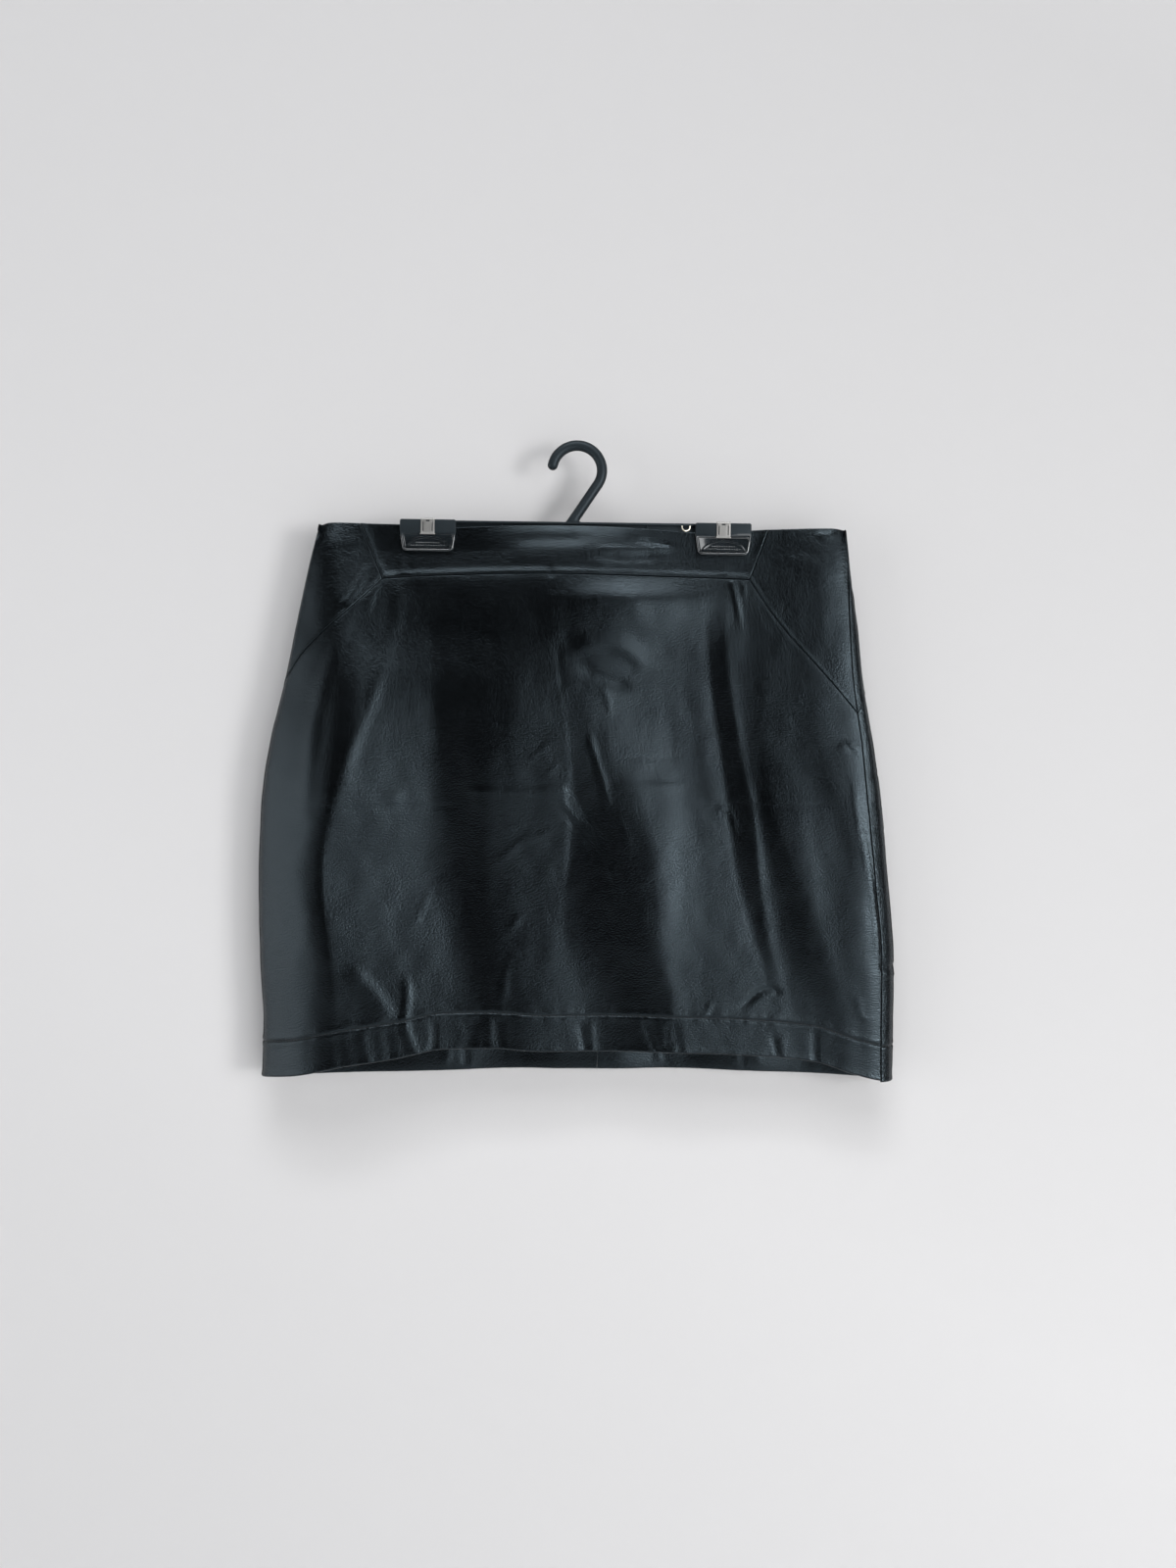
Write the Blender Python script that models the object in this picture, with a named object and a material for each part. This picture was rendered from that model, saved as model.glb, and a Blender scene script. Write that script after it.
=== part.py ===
"""A leather-look mini skirt, hung by its waist from a plastic clip hanger.

The origin is the seat of the hanger's hook, where it rests on its support. +Z is up and
the skirt's front faces -Y. Lengths are in millimetres, turned to metres in each mesh.
"""
import functools
import math
from collections import namedtuple

import bmesh
import bpy
from mathutils import Matrix, Vector

COLLECTION_NAME = "leather_mini_skirt_on_clip_hanger"
METRES = 0.001

# Cloth
CLOTH = 1.5
HEM_CLOTH = 2.6
HEM_DEPTH = 28.0
HEM_TAPER = 2.0
SEAM_GAP = 0.3
PRESSED_HALF = CLOTH + SEAM_GAP / 2
CLOTH_PLANE_Y = -3.4

# Hanger, in its own frame before it is tilted about the hook's seat
HANGER_TILT = math.radians(0.77)
ROD_RADIUS = 4.1
HOOK_INNER_RADIUS = 15.6
HOOK_STEM_TURN = math.radians(35.4)
BAR_TOP = -54.4
BAR_HALF_DEPTH = 4.0
FLANGE_HEIGHT = 3.8
FLANGE_PROUD = 0.1
WEB_BOTTOM = -66.5
JAW_X = 116.0
JAW_WIDTH = 44.0
JAW_HEIGHT = 25.0
JAW_FOOT_WIDTH = 39.0
JAW_SHOULDER = 10.0
JAW_THICKNESS = 2.9
JAW_CORNER = 3.5
SPRING_WIDTH = 11.6
SPRING_THICKNESS = 0.8
SPRING_LEG = 12.2

# Rows of the cut, counted from the hem or the yoke seam up
YOKE_ROWS = 6
PANEL_ROWS = 14
YOKE_COLUMNS = 22
BACK_COLUMNS = 9
TURNING_STEPS = (0.0, 0.06, 0.10, 0.14, 0.18, 0.22, 0.32, 0.46, 0.62, 0.8, 1.0)
SEAM_STEPS = (0.0, 0.2, 0.38, 0.54, 0.7, 0.84, 0.92, 0.96, 1.0)

# The skirt's level sections: its outer edges, how far the side seam lies inside the right
# edge, the radius its sides turn with, and how far front and back stand out in the middle.
Section = namedtuple("Section", "z left right seam_inset turn front back side_y")
SECTIONS = [Section(*row) for row in (
    # z       left     right   inset  turn  front  back  side_y
    (-50.0, -201.0, 211.2, 0.8, 3.2, 8.0, 0.5, -3.4),
    (-90.0, -211.0, 215.1, 2.0, 3.4, 10.0, 2.0, -3.4),
    (-130.0, -219.7, 220.5, 6.6, 3.8, 12.0, 4.0, -2.4),
    (-180.0, -230.1, 226.1, 9.6, 4.3, 15.0, 6.0, -0.8),
    (-230.0, -243.1, 234.4, 11.0, 4.8, 17.0, 7.0, 0.8),
    (-280.0, -250.2, 241.6, 13.2, 5.4, 18.5, 7.5, 2.0),
    (-340.0, -252.0, 247.1, 13.0, 6.0, 20.0, 8.0, 3.0),
    (-400.0, -251.0, 251.4, 12.4, 6.5, 21.0, 8.0, 3.4),
    (-450.0, -248.4, 251.0, 12.4, 6.8, 21.0, 8.0, 3.6),
    (-500.0, -249.9, 249.9, 11.4, 7.0, 21.0, 8.0, 3.6),
)]

# Edges of the cloth, as heights across the skirt
EdgePoint = namedtuple("EdgePoint", "x z")
FRONT_WAIST = [EdgePoint(*row) for row in (
    (-210.0, -59.0),
    (-202.0, -58.0),
    (-194.0, -56.2),
    (-160.0, -57.0),
    (-116.0, -58.2),
    (-93.0, -59.7),
    (-40.0, -61.0),
    (12.0, -61.2),
    (42.0, -62.2),
    (92.0, -64.4),
    (116.0, -63.6),
    (152.0, -61.8),
    (200.0, -61.0),
    (212.0, -62.5),
)]
BACK_WAIST = [EdgePoint(*row) for row in (
    (-202.0, -58.0),
    (-194.0, -56.6),
    (-116.0, -59.0),
    (0.0, -62.4),
    (84.0, -64.8),
    (150.0, -62.4),
    (200.0, -61.2),
    (212.0, -62.5),
)]
FRONT_HEM = [EdgePoint(*row) for row in (
    (-250.0, -492.8),
    (-222.0, -489.0),
    (-181.0, -480.4),
    (-142.0, -475.3),
    (-104.0, -468.6),
    (-66.0, -468.4),
    (-28.0, -471.0),
    (40.0, -471.6),
    (100.0, -472.8),
    (156.0, -476.0),
    (188.0, -480.0),
    (216.0, -489.0),
    (238.0, -494.4),
    (250.0, -496.0),
)]
BACK_HEM = [EdgePoint(*row) for row in (
    (-250.0, -492.8),
    (-200.0, -494.2),
    (-100.0, -492.0),
    (0.0, -490.8),
    (100.0, -491.6),
    (200.0, -494.6),
    (250.0, -496.0),
)]

# Seams of the front, from the side or the waist in to the yoke's lower corners
YOKE_CORNER_LEFT = EdgePoint(-152.5, -100.5)
YOKE_CORNER_RIGHT = EdgePoint(135.8, -101.3)
YOKE_TOP_LEFT_X = -170.3
YOKE_TOP_RIGHT_X = 151.1
YOKE_SEAM = [
    YOKE_CORNER_LEFT,
    EdgePoint(-122.0, -98.4),
    EdgePoint(-66.0, -97.2),
    EdgePoint(10.0, -98.0),
    EdgePoint(90.0, -99.6),
    YOKE_CORNER_RIGHT,
]
LEFT_DIAGONAL = [
    EdgePoint(-229.4, -180.6),
    EdgePoint(-214.9, -160.1),
    EdgePoint(-175.8, -123.5),
    YOKE_CORNER_LEFT,
]
RIGHT_DIAGONAL = [
    YOKE_CORNER_RIGHT,
    EdgePoint(162.0, -139.5),
    EdgePoint(185.4, -166.2),
    EdgePoint(204.0, -187.4),
]
SIDE_JOIN_Z = -206.5
BACK_CORNER_IN = 0.18
BACK_YOKE_Z = -102.0

# Folds: the line of each crest from top to bottom, how far to the left and the right of it
# the fold's foot and brow lie at its lower end, how far it stands out, and how far it fades.
Fold = namedtuple(
    "Fold",
    "x_top z_top x_mid z_mid x_low z_low left_foot left_brow right_brow right_foot height fade")
FRONT_FOLDS = [Fold(*row) for row in (
    (-148.0, -116.0, -191.7, -262.0, -204.0, -446.0, 30.0, 0.0, 3.0, 84.0, 11.0, 90.0),
    (-6.0, -187.0, -11.3, -306.0, -13.6, -420.0, 92.0, 56.0, 3.0, 22.0, 8.0, 110.0),
    (30.0, -190.0, 50.3, -322.0, 60.0, -427.0, 44.0, 4.0, 4.0, 54.0, 11.0, 90.0),
    (110.8, -126.0, 128.0, -284.0, 156.5, -413.0, 18.0, 0.0, 0.0, 18.0, 8.0, 30.0),
    (176.0, -190.0, 204.3, -339.0, 222.6, -432.0, 46.0, 6.0, 3.0, 24.0, 8.0, 60.0),
)]
BACK_FOLDS = [Fold(*row) for row in (
    (-150.0, -130.0, -168.0, -300.0, -184.0, -470.0, 46.0, 4.0, 4.0, 62.0, 5.0, 90.0),
    (-40.0, -150.0, -44.0, -300.0, -52.0, -470.0, 54.0, 6.0, 6.0, 40.0, 4.5, 90.0),
    (64.0, -140.0, 66.0, -300.0, 74.0, -470.0, 42.0, 4.0, 8.0, 60.0, 5.0, 90.0),
    (160.0, -130.0, 176.0, -300.0, 190.0, -470.0, 50.0, 4.0, 4.0, 40.0, 4.0, 90.0),
)]
FOLD_WIDTH_AT_TOP = 0.55
FOLD_RISE = 45.0
FOLD_SIDE_MARGIN = 26.0

# How far the clips' and the bar's hold on the cloth reaches
CLIP_HOLD_HALF = 24.0
CLIP_HOLD_BELOW = 4.0
CLIP_FADE_ACROSS = 62.0
CLIP_FADE_DOWN = 120.0
BAR_HOLD_HALF = 112.0
BAR_HOLD_Z = -70.0
BAR_FADE_ACROSS = 40.0
BAR_FADE_DOWN = 60.0

# Small wire loop beside the right clip
LOOP_CENTRE = Vector((86.0, -5.0, -59.6))
LOOP_WIDTH = 6.2
LOOP_DEPTH = 3.4
LOOP_WIRE_RADIUS = 0.55

# Colours are linear, then roughness and metallic value
Finish = namedtuple("Finish", "colour roughness metallic")
LEATHER_BLACK = Finish((0.012, 0.013, 0.015), 0.38, 0.0)
PLASTIC_BLACK = Finish((0.010, 0.010, 0.011), 0.32, 0.0)
STEEL = Finish((0.62, 0.62, 0.60), 0.28, 1.0)
GILT_WIRE = Finish((0.80, 0.72, 0.50), 0.25, 1.0)


# ---------------------------------------------------------------- scene and materials

def clear_scene():
    for scene_object in list(bpy.data.objects):
        bpy.data.objects.remove(scene_object, do_unlink=True)


def make_collection(name):
    collection = bpy.data.collections.new(name)
    bpy.context.scene.collection.children.link(collection)
    return collection


def make_material(name, finish):
    material = bpy.data.materials.new(name)
    material.use_nodes = True
    shader = material.node_tree.nodes["Principled BSDF"]
    shader.inputs["Base Color"].default_value = (*finish.colour, 1.0)
    shader.inputs["Roughness"].default_value = finish.roughness
    shader.inputs["Metallic"].default_value = finish.metallic
    return material


def add_object(name, data, material, collection):
    new_object = bpy.data.objects.new(name, data)
    new_object.data.materials.append(material)
    collection.objects.link(new_object)
    return new_object


# ---------------------------------------------------------------- interpolation

def smoothstep(start, end, value):
    share = min(max((value - start) / (end - start), 0.0), 1.0)
    return share * share * (3.0 - 2.0 * share)


def slopes(keys, values):
    """Slopes that let a smooth curve run through the values without overshooting."""
    steps = [(b - a) / (q - p) for a, b, p, q in zip(values, values[1:], keys, keys[1:])]
    inner = [0.0 if a * b <= 0.0 else 2.0 * a * b / (a + b) for a, b in zip(steps, steps[1:])]
    return [steps[0], *inner, steps[-1]]


def smooth_value(keys, values, key):
    """Value at key on the smooth curve through the table, held level past its ends."""
    if key <= keys[0]:
        return values[0]
    if key >= keys[-1]:
        return values[-1]
    index = max(i for i in range(len(keys) - 1) if keys[i] <= key)
    span = keys[index + 1] - keys[index]
    t = (key - keys[index]) / span
    tangent = slopes(keys, values)
    start_part = (1 + 2 * t) * (1 - t) ** 2 * values[index]
    end_part = t * t * (3 - 2 * t) * values[index + 1]
    start_slope = t * (1 - t) ** 2 * span * tangent[index]
    end_slope = t * t * (t - 1) * span * tangent[index + 1]
    return start_part + end_part + start_slope + end_slope


def edge_height(points, x):
    return smooth_value([p.x for p in points], [p.z for p in points], x)


@functools.lru_cache(maxsize=None)
def section_at(z):
    rows = SECTIONS[::-1]
    heights = [row.z for row in rows]
    columns = zip(*rows)
    return Section(*(smooth_value(heights, column, z) for column in columns))


# ---------------------------------------------------------------- the skirt's form

def tilt_point(x, z):
    """A point of the upright hanger, after it is tilted about the hook's seat."""
    cos, sin = math.cos(HANGER_TILT), math.sin(HANGER_TILT)
    return x * cos + z * sin, z * cos - x * sin


def clip_hold(x, z):
    """1 where a clip presses front and back together, fading to 0 round it."""
    free = 1.0
    for side in (-1, 1):
        clip_x, clip_bottom = tilt_point(side * JAW_X, BAR_TOP - JAW_HEIGHT)
        across = 1.0 - smoothstep(CLIP_HOLD_HALF, CLIP_HOLD_HALF + CLIP_FADE_ACROSS, abs(x - clip_x))
        below = clip_bottom - CLIP_HOLD_BELOW - z
        free *= 1.0 - across * (1.0 - smoothstep(0.0, CLIP_FADE_DOWN, below))
    return 1.0 - free


def bar_hold(x, z):
    """1 where the back lies against the hanger's bar, fading to 0 below it."""
    across = 1.0 - smoothstep(BAR_HOLD_HALF, BAR_HOLD_HALF + BAR_FADE_ACROSS, abs(x))
    return across * (1.0 - smoothstep(0.0, BAR_FADE_DOWN, BAR_HOLD_Z - z))


def fold_line(fold, z):
    """Place across the skirt of a fold's line, a parabola through its three points."""
    heights = (fold.z_top, fold.z_mid, fold.z_low)
    places = (fold.x_top, fold.x_mid, fold.x_low)
    total = 0.0
    for i, place in enumerate(places):
        weight = 1.0
        for j, height in enumerate(heights):
            if j != i:
                weight *= (z - height) / (heights[i] - height)
        total += weight * place
    return total


def fold_height(folds, x, z):
    total = 0.0
    for fold in folds:
        down = min(max((fold.z_top - z) / (fold.z_top - fold.z_low), 0.0), 1.0)
        width = FOLD_WIDTH_AT_TOP + (1.0 - FOLD_WIDTH_AT_TOP) * down
        rise = smoothstep(0.0, FOLD_RISE, fold.z_top - z)
        fall = 1.0 - smoothstep(0.0, fold.fade, fold.z_low - z)
        offset = (x - fold_line(fold, z)) / width
        if offset < 0.0:
            across = 1.0 - smoothstep(fold.left_brow, fold.left_foot, -offset)
        else:
            across = 1.0 - smoothstep(fold.right_brow, fold.right_foot, offset)
        total += fold.height * rise * fall * across
    return total


def stand_out(is_front, x, z, section, flat):
    """How far the outer face stands from the plane between front and back."""
    centre = (section.left + section.right) / 2
    share = min(abs(x - centre) / flat, 1.0)
    middle = section.front if is_front else section.back
    folds = FRONT_FOLDS if is_front else BACK_FOLDS
    hold = clip_hold(x, z)
    if not is_front:
        hold = 1.0 - (1.0 - hold) * (1.0 - bar_hold(x, z))
    bulge = middle * (1.0 - share * share) ** 1.5
    margin = smoothstep(0.0, FOLD_SIDE_MARGIN, flat - abs(x - centre))
    loose = section.turn - PRESSED_HALF + bulge + margin * fold_height(folds, x, z)
    return PRESSED_HALF + (1.0 - hold) * loose


def outer_point(quarter, z):
    """Point of the outer face, by its place round the skirt and its height.

    The place is counted in quarters from the middle of the front, through the right side
    at 1, the middle of the back at 2 and the left side at 3, which is also -1.
    """
    section = section_at(z)
    centre = (section.left + section.right) / 2
    flat = (section.right - section.left) / 2 - section.turn
    length = flat + section.turn * math.pi / 2
    place = (quarter + 1.0) % 4.0 - 1.0
    is_front = place <= 1.0
    run = (place if is_front else 2.0 - place) * length
    facing = -1.0 if is_front else 1.0
    if abs(run) <= flat:
        x = centre + run
        y = section.side_y + facing * stand_out(is_front, x, z, section, flat)
    else:
        angle = (abs(run) - flat) / section.turn
        x = centre + math.copysign(flat + section.turn * math.sin(angle), run)
        y = section.side_y + facing * section.turn * math.cos(angle)
    return Vector((x, y, z))


def inner_point(quarter, z, thickness):
    """Point of the inner face, square to the outer one."""
    beside, above = 0.002, 0.4
    across = outer_point(quarter + beside, z) - outer_point(quarter - beside, z)
    up = outer_point(quarter, z + above) - outer_point(quarter, z - above)
    return outer_point(quarter, z) - across.cross(up).normalized() * thickness


# ---------------------------------------------------------------- the cut

def seam_quarter(z):
    """Place of the right side seam. The left one lies two quarters before it."""
    section = section_at(z)
    half = (section.right - section.left) / 2
    return quarter_at_distance(half - section.seam_inset, section, half)


def quarter_at_distance(distance, section, half):
    """Place on the front of a point at a distance from the section's middle."""
    flat = half - section.turn
    run = abs(distance)
    if run > flat:
        run = flat + section.turn * math.asin(min((run - flat) / section.turn, 1.0))
    return math.copysign(run / (flat + section.turn * math.pi / 2), distance)


def cut_place(x, z):
    """Place in the cut of a point on the front: 0 at the left seam, 1 at the right."""
    section = section_at(z)
    half = (section.right - section.left) / 2
    centre = (section.left + section.right) / 2
    return (quarter_at_distance(x - centre, section, half) - seam_quarter(z)) / 2 + 1


def quarter_of(place, z):
    return seam_quarter(z) + 2 * (place - 1)


def edge_at_place(points, place):
    """Height of a waist or hem edge at a place in the cut, found in a few passes."""
    height = points[len(points) // 2].z
    for _ in range(3):
        height = edge_height(points, outer_point(quarter_of(place, height), height).x)
    return height


def spread(start, end, steps):
    if isinstance(steps, int):
        steps = [i / steps for i in range(steps + 1)]
    return [start + (end - start) * step for step in steps]


def mirrored(steps):
    return [1.0 - step for step in reversed(steps)]


def seam_points(places, seam, gap):
    """Points of a cut edge beside a seam, half a gap away from it."""
    keys = [key for key, _ in seam]
    heights = [height for _, height in seam]
    nudge = 0.002
    points = []
    for place in places:
        height = smooth_value(keys, heights, place)
        rise = smooth_value(keys, heights, place + nudge) - smooth_value(keys, heights, place - nudge)
        run = 2 * nudge * (section_at(height).right - section_at(height).left)
        points.append((place, height + gap * math.hypot(1.0, rise / run)))
    return points


def edge_points(places, edge):
    return [(place, edge_at_place(edge, place)) for place in places]


def cut_grid(lower, upper, rows, ends):
    """Columns of (place, height) from a lower to an upper edge, inset at its two ends."""
    columns = []
    for index, (low, high) in enumerate(zip(lower, upper)):
        inset = ends[0] if index == 0 else ends[1] if index == len(lower) - 1 else 0.0
        column = []
        for share in rows:
            place = low[0] + (high[0] - low[0]) * share + inset
            column.append((place, low[1] + (high[1] - low[1]) * share))
        columns.append(column)
    return columns


def panel_grid(lower, upper, ends):
    """A panel's columns, with rows at the top of its turned-up hem."""
    hem_rows = (0.0, HEM_DEPTH / 2, HEM_DEPTH, HEM_DEPTH + HEM_TAPER)
    columns = []
    for index, (low, high) in enumerate(zip(lower, upper)):
        inset = ends[0] if index == 0 else ends[1] if index == len(lower) - 1 else 0.0
        heights = [low[1] + rise for rise in hem_rows[:-1]]
        heights += spread(low[1] + hem_rows[-1], high[1], PANEL_ROWS)
        columns.append([(low[0] + inset, height) for height in heights])
    return columns


def wall_mesh(name, grid, thickness_of_row):
    """A closed wall between the outer and inner points of a grid of the cut."""
    mesh_builder = bmesh.new()
    outer, inner = [], []
    for column in grid:
        outer_column, inner_column = [], []
        for row, (place, z) in enumerate(column):
            quarter = quarter_of(place, z)
            thickness = thickness_of_row(row)
            outer_column.append(mesh_builder.verts.new(outer_point(quarter, z) * METRES))
            inner_column.append(mesh_builder.verts.new(inner_point(quarter, z, thickness) * METRES))
        outer.append(outer_column)
        inner.append(inner_column)
    last_column, last_row = len(grid) - 1, len(grid[0]) - 1
    for c in range(last_column):
        for r in range(last_row):
            mesh_builder.faces.new((outer[c][r], outer[c + 1][r], outer[c + 1][r + 1], outer[c][r + 1]))
            mesh_builder.faces.new((inner[c][r], inner[c][r + 1], inner[c + 1][r + 1], inner[c + 1][r]))
        mesh_builder.faces.new((outer[c][0], inner[c][0], inner[c + 1][0], outer[c + 1][0]))
        top = last_row
        mesh_builder.faces.new((outer[c][top], outer[c + 1][top], inner[c + 1][top], inner[c][top]))
    for r in range(last_row):
        mesh_builder.faces.new((outer[0][r], outer[0][r + 1], inner[0][r + 1], inner[0][r]))
        end = last_column
        mesh_builder.faces.new((outer[end][r], inner[end][r], inner[end][r + 1], outer[end][r + 1]))
    mesh = bpy.data.meshes.new(name)
    mesh_builder.to_mesh(mesh)
    mesh_builder.free()
    mesh.shade_smooth()
    mesh.set_sharp_from_angle(angle=math.radians(50))
    return mesh


def yoke_wall(name, lower, upper, ends):
    grid = cut_grid(lower, upper, spread(0.0, 1.0, YOKE_ROWS), ends)
    return wall_mesh(name, grid, lambda row: CLOTH)


def panel_wall(name, lower, upper, ends):
    grid = panel_grid(lower, upper, ends)
    return wall_mesh(name, grid, lambda row: HEM_CLOTH if row <= 2 else CLOTH)


def build_front(material, collection):
    """Front yoke, two side yokes and the front panel, all between the side seams."""
    half_gap = SEAM_GAP / 2
    inset = half_gap / (section_at(SIDE_JOIN_Z).right - section_at(SIDE_JOIN_Z).left)
    corner_left = cut_place(*YOKE_CORNER_LEFT)
    corner_right = cut_place(*YOKE_CORNER_RIGHT)
    top_left = cut_place(YOKE_TOP_LEFT_X, edge_height(FRONT_WAIST, YOKE_TOP_LEFT_X))
    top_right = cut_place(YOKE_TOP_RIGHT_X, edge_height(FRONT_WAIST, YOKE_TOP_RIGHT_X))

    left_seam = [(0.0, SIDE_JOIN_Z)] + [(cut_place(*p), p.z) for p in LEFT_DIAGONAL]
    middle_seam = [(cut_place(*p), p.z) for p in YOKE_SEAM]
    right_seam = [(cut_place(*p), p.z) for p in RIGHT_DIAGONAL] + [(1.0, SIDE_JOIN_Z)]

    left_places = spread(0.0, corner_left, TURNING_STEPS)
    middle_places = spread(corner_left, corner_right, YOKE_COLUMNS)
    right_places = spread(corner_right, 1.0, SEAM_STEPS)

    add_object("front_yoke", yoke_wall(
        "front_yoke",
        seam_points(middle_places, middle_seam, half_gap),
        edge_points(spread(top_left, top_right, YOKE_COLUMNS), FRONT_WAIST),
        (inset, -inset),
    ), material, collection)
    add_object("side_yoke_left", yoke_wall(
        "side_yoke_left",
        seam_points(left_places, left_seam, half_gap),
        edge_points(spread(0.0, top_left, TURNING_STEPS), FRONT_WAIST),
        (inset, -inset),
    ), material, collection)
    add_object("side_yoke_right", yoke_wall(
        "side_yoke_right",
        seam_points(right_places, right_seam, half_gap),
        edge_points(spread(top_right, 1.0, SEAM_STEPS), FRONT_WAIST),
        (inset, -inset),
    ), material, collection)

    upper = seam_points(left_places[:-1], left_seam, -half_gap)
    upper += seam_points(middle_places, middle_seam, -half_gap)
    upper += seam_points(right_places[1:], right_seam, -half_gap)
    lower = edge_points([place for place, _ in upper], FRONT_HEM)
    add_object("front_panel", panel_wall("front_panel", lower, upper, (inset, -inset)), material, collection)


def build_back(material, collection):
    """Two back yokes over two back panels, meeting at the centre-back seam."""
    half_gap = SEAM_GAP / 2
    inset = half_gap / (section_at(SIDE_JOIN_Z).right - section_at(SIDE_JOIN_Z).left)
    centre_seam = 1.5
    halves = {
        "right": (
            [(1.0, SIDE_JOIN_Z), (1.0 + BACK_CORNER_IN, BACK_YOKE_Z), (centre_seam, BACK_YOKE_Z)],
            spread(1.0, 1.0 + BACK_CORNER_IN, TURNING_STEPS)
            + spread(1.0 + BACK_CORNER_IN, centre_seam, BACK_COLUMNS)[1:],
        ),
        "left": (
            [(centre_seam, BACK_YOKE_Z), (2.0 - BACK_CORNER_IN, BACK_YOKE_Z), (2.0, SIDE_JOIN_Z)],
            spread(centre_seam, 2.0 - BACK_CORNER_IN, BACK_COLUMNS)
            + spread(2.0 - BACK_CORNER_IN, 2.0, SEAM_STEPS)[1:],
        ),
    }
    for side, (seam, places) in halves.items():
        yoke_name, panel_name = f"back_yoke_{side}", f"back_panel_{side}"
        waist = edge_points(places, BACK_WAIST)
        hem = edge_points(places, BACK_HEM)
        above, below = seam_points(places, seam, half_gap), seam_points(places, seam, -half_gap)
        add_object(yoke_name, yoke_wall(yoke_name, above, waist, (inset, -inset)), material, collection)
        add_object(panel_name, panel_wall(panel_name, hem, below, (inset, -inset)), material, collection)


# ---------------------------------------------------------------- the hanger

def arc_points(centre, radius, start, end, steps):
    """Points of an arc, its angles measured from +X towards +Z."""
    points = []
    for step in range(steps + 1):
        angle = start + (end - start) * step / steps
        points.append((centre[0] + radius * math.cos(angle), centre[1] + radius * math.sin(angle)))
    return points


def rounded_outline(corners, steps=4):
    """Outline through corners given as (x, z, radius), each rounded by its radius."""
    outline = []
    for index, (x, z, radius) in enumerate(corners):
        corner = Vector((x, z))
        if radius == 0.0:
            outline.append((x, z))
            continue
        before = (Vector(corners[index - 1][:2]) - corner).normalized()
        after = (Vector(corners[(index + 1) % len(corners)][:2]) - corner).normalized()
        half_angle = before.angle(after) / 2
        centre = corner + (before + after).normalized() * radius / math.sin(half_angle)
        start = corner + before * radius / math.tan(half_angle) - centre
        turn = math.copysign(math.pi - 2 * half_angle, before.y * after.x - before.x * after.y)
        for step in range(steps + 1):
            angle = turn * step / steps
            spoke = Matrix.Rotation(angle, 2) @ start
            outline.append(tuple(centre + spoke))
    return outline


def plate_mesh(name, outline, y_front, y_back):
    """A flat plate in the X-Z plane with the given outline."""
    mesh_builder = bmesh.new()
    front = mesh_builder.faces.new([mesh_builder.verts.new((x, y_front, z)) for x, z in outline])
    grown = bmesh.ops.extrude_face_region(mesh_builder, geom=[front])
    back_points = [item for item in grown["geom"] if isinstance(item, bmesh.types.BMVert)]
    bmesh.ops.translate(mesh_builder, verts=back_points, vec=(0.0, y_back - y_front, 0.0))
    bmesh.ops.recalc_face_normals(mesh_builder, faces=mesh_builder.faces[:])
    bmesh.ops.transform(
        mesh_builder, matrix=Matrix.Scale(METRES, 4), verts=mesh_builder.verts[:])
    mesh = bpy.data.meshes.new(name)
    mesh_builder.to_mesh(mesh)
    mesh_builder.free()
    return mesh


def box_mesh(name, low, high):
    outline = [(low[0], low[2]), (high[0], low[2]), (high[0], high[2]), (low[0], high[2])]
    return plate_mesh(name, outline, low[1], high[1])


def combine(target, tool_mesh, operation, helpers):
    """Joins a helper solid to the target, or cuts it away."""
    helper = bpy.data.objects.new(tool_mesh.name, tool_mesh)
    helpers.objects.link(helper)
    helper.hide_render = True
    helper.display_type = "WIRE"
    helper.matrix_world = target.matrix_world
    modifier = target.modifiers.new(tool_mesh.name, "BOOLEAN")
    modifier.operation = operation
    modifier.solver = "EXACT"
    modifier.object = helper


def jaw_corners(centre_x):
    """Corners of a jaw seen from the front, with a rounded lower edge."""
    half, foot = JAW_WIDTH / 2, JAW_FOOT_WIDTH / 2
    bottom = BAR_TOP - JAW_HEIGHT
    return [
        (centre_x - half, BAR_TOP, 1.2),
        (centre_x - half, BAR_TOP - JAW_SHOULDER, 0.0),
        (centre_x - foot, bottom, JAW_CORNER),
        (centre_x + foot, bottom, JAW_CORNER),
        (centre_x + half, BAR_TOP - JAW_SHOULDER, 0.0),
        (centre_x + half, BAR_TOP, 1.2),
    ]


def jaw_recess_outline(centre_x):
    """Sunk band inside a jaw's raised rim, over its arched grip pad."""
    side_rim, top_rim, bottom_rim, side_slope, pad_inset = 2.0, 4.6, 3.2, 0.6, 1.8
    top = BAR_TOP - JAW_SHOULDER - top_rim
    bottom = BAR_TOP - JAW_HEIGHT + bottom_rim
    upper_half = JAW_WIDTH / 2 - side_rim - side_slope
    lower_half = JAW_FOOT_WIDTH / 2 - side_rim
    pad_half, pad_height = lower_half - pad_inset, 5.6
    outline = [
        (centre_x - lower_half, bottom),
        (centre_x - upper_half, top),
        (centre_x + upper_half, top),
        (centre_x + lower_half, bottom),
    ]
    arch_steps = 12
    for step in range(arch_steps + 1):
        angle = math.pi * step / arch_steps
        outline.append((
            centre_x + pad_half * math.cos(angle),
            bottom + pad_height * math.sin(angle),
        ))
    return outline


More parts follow.
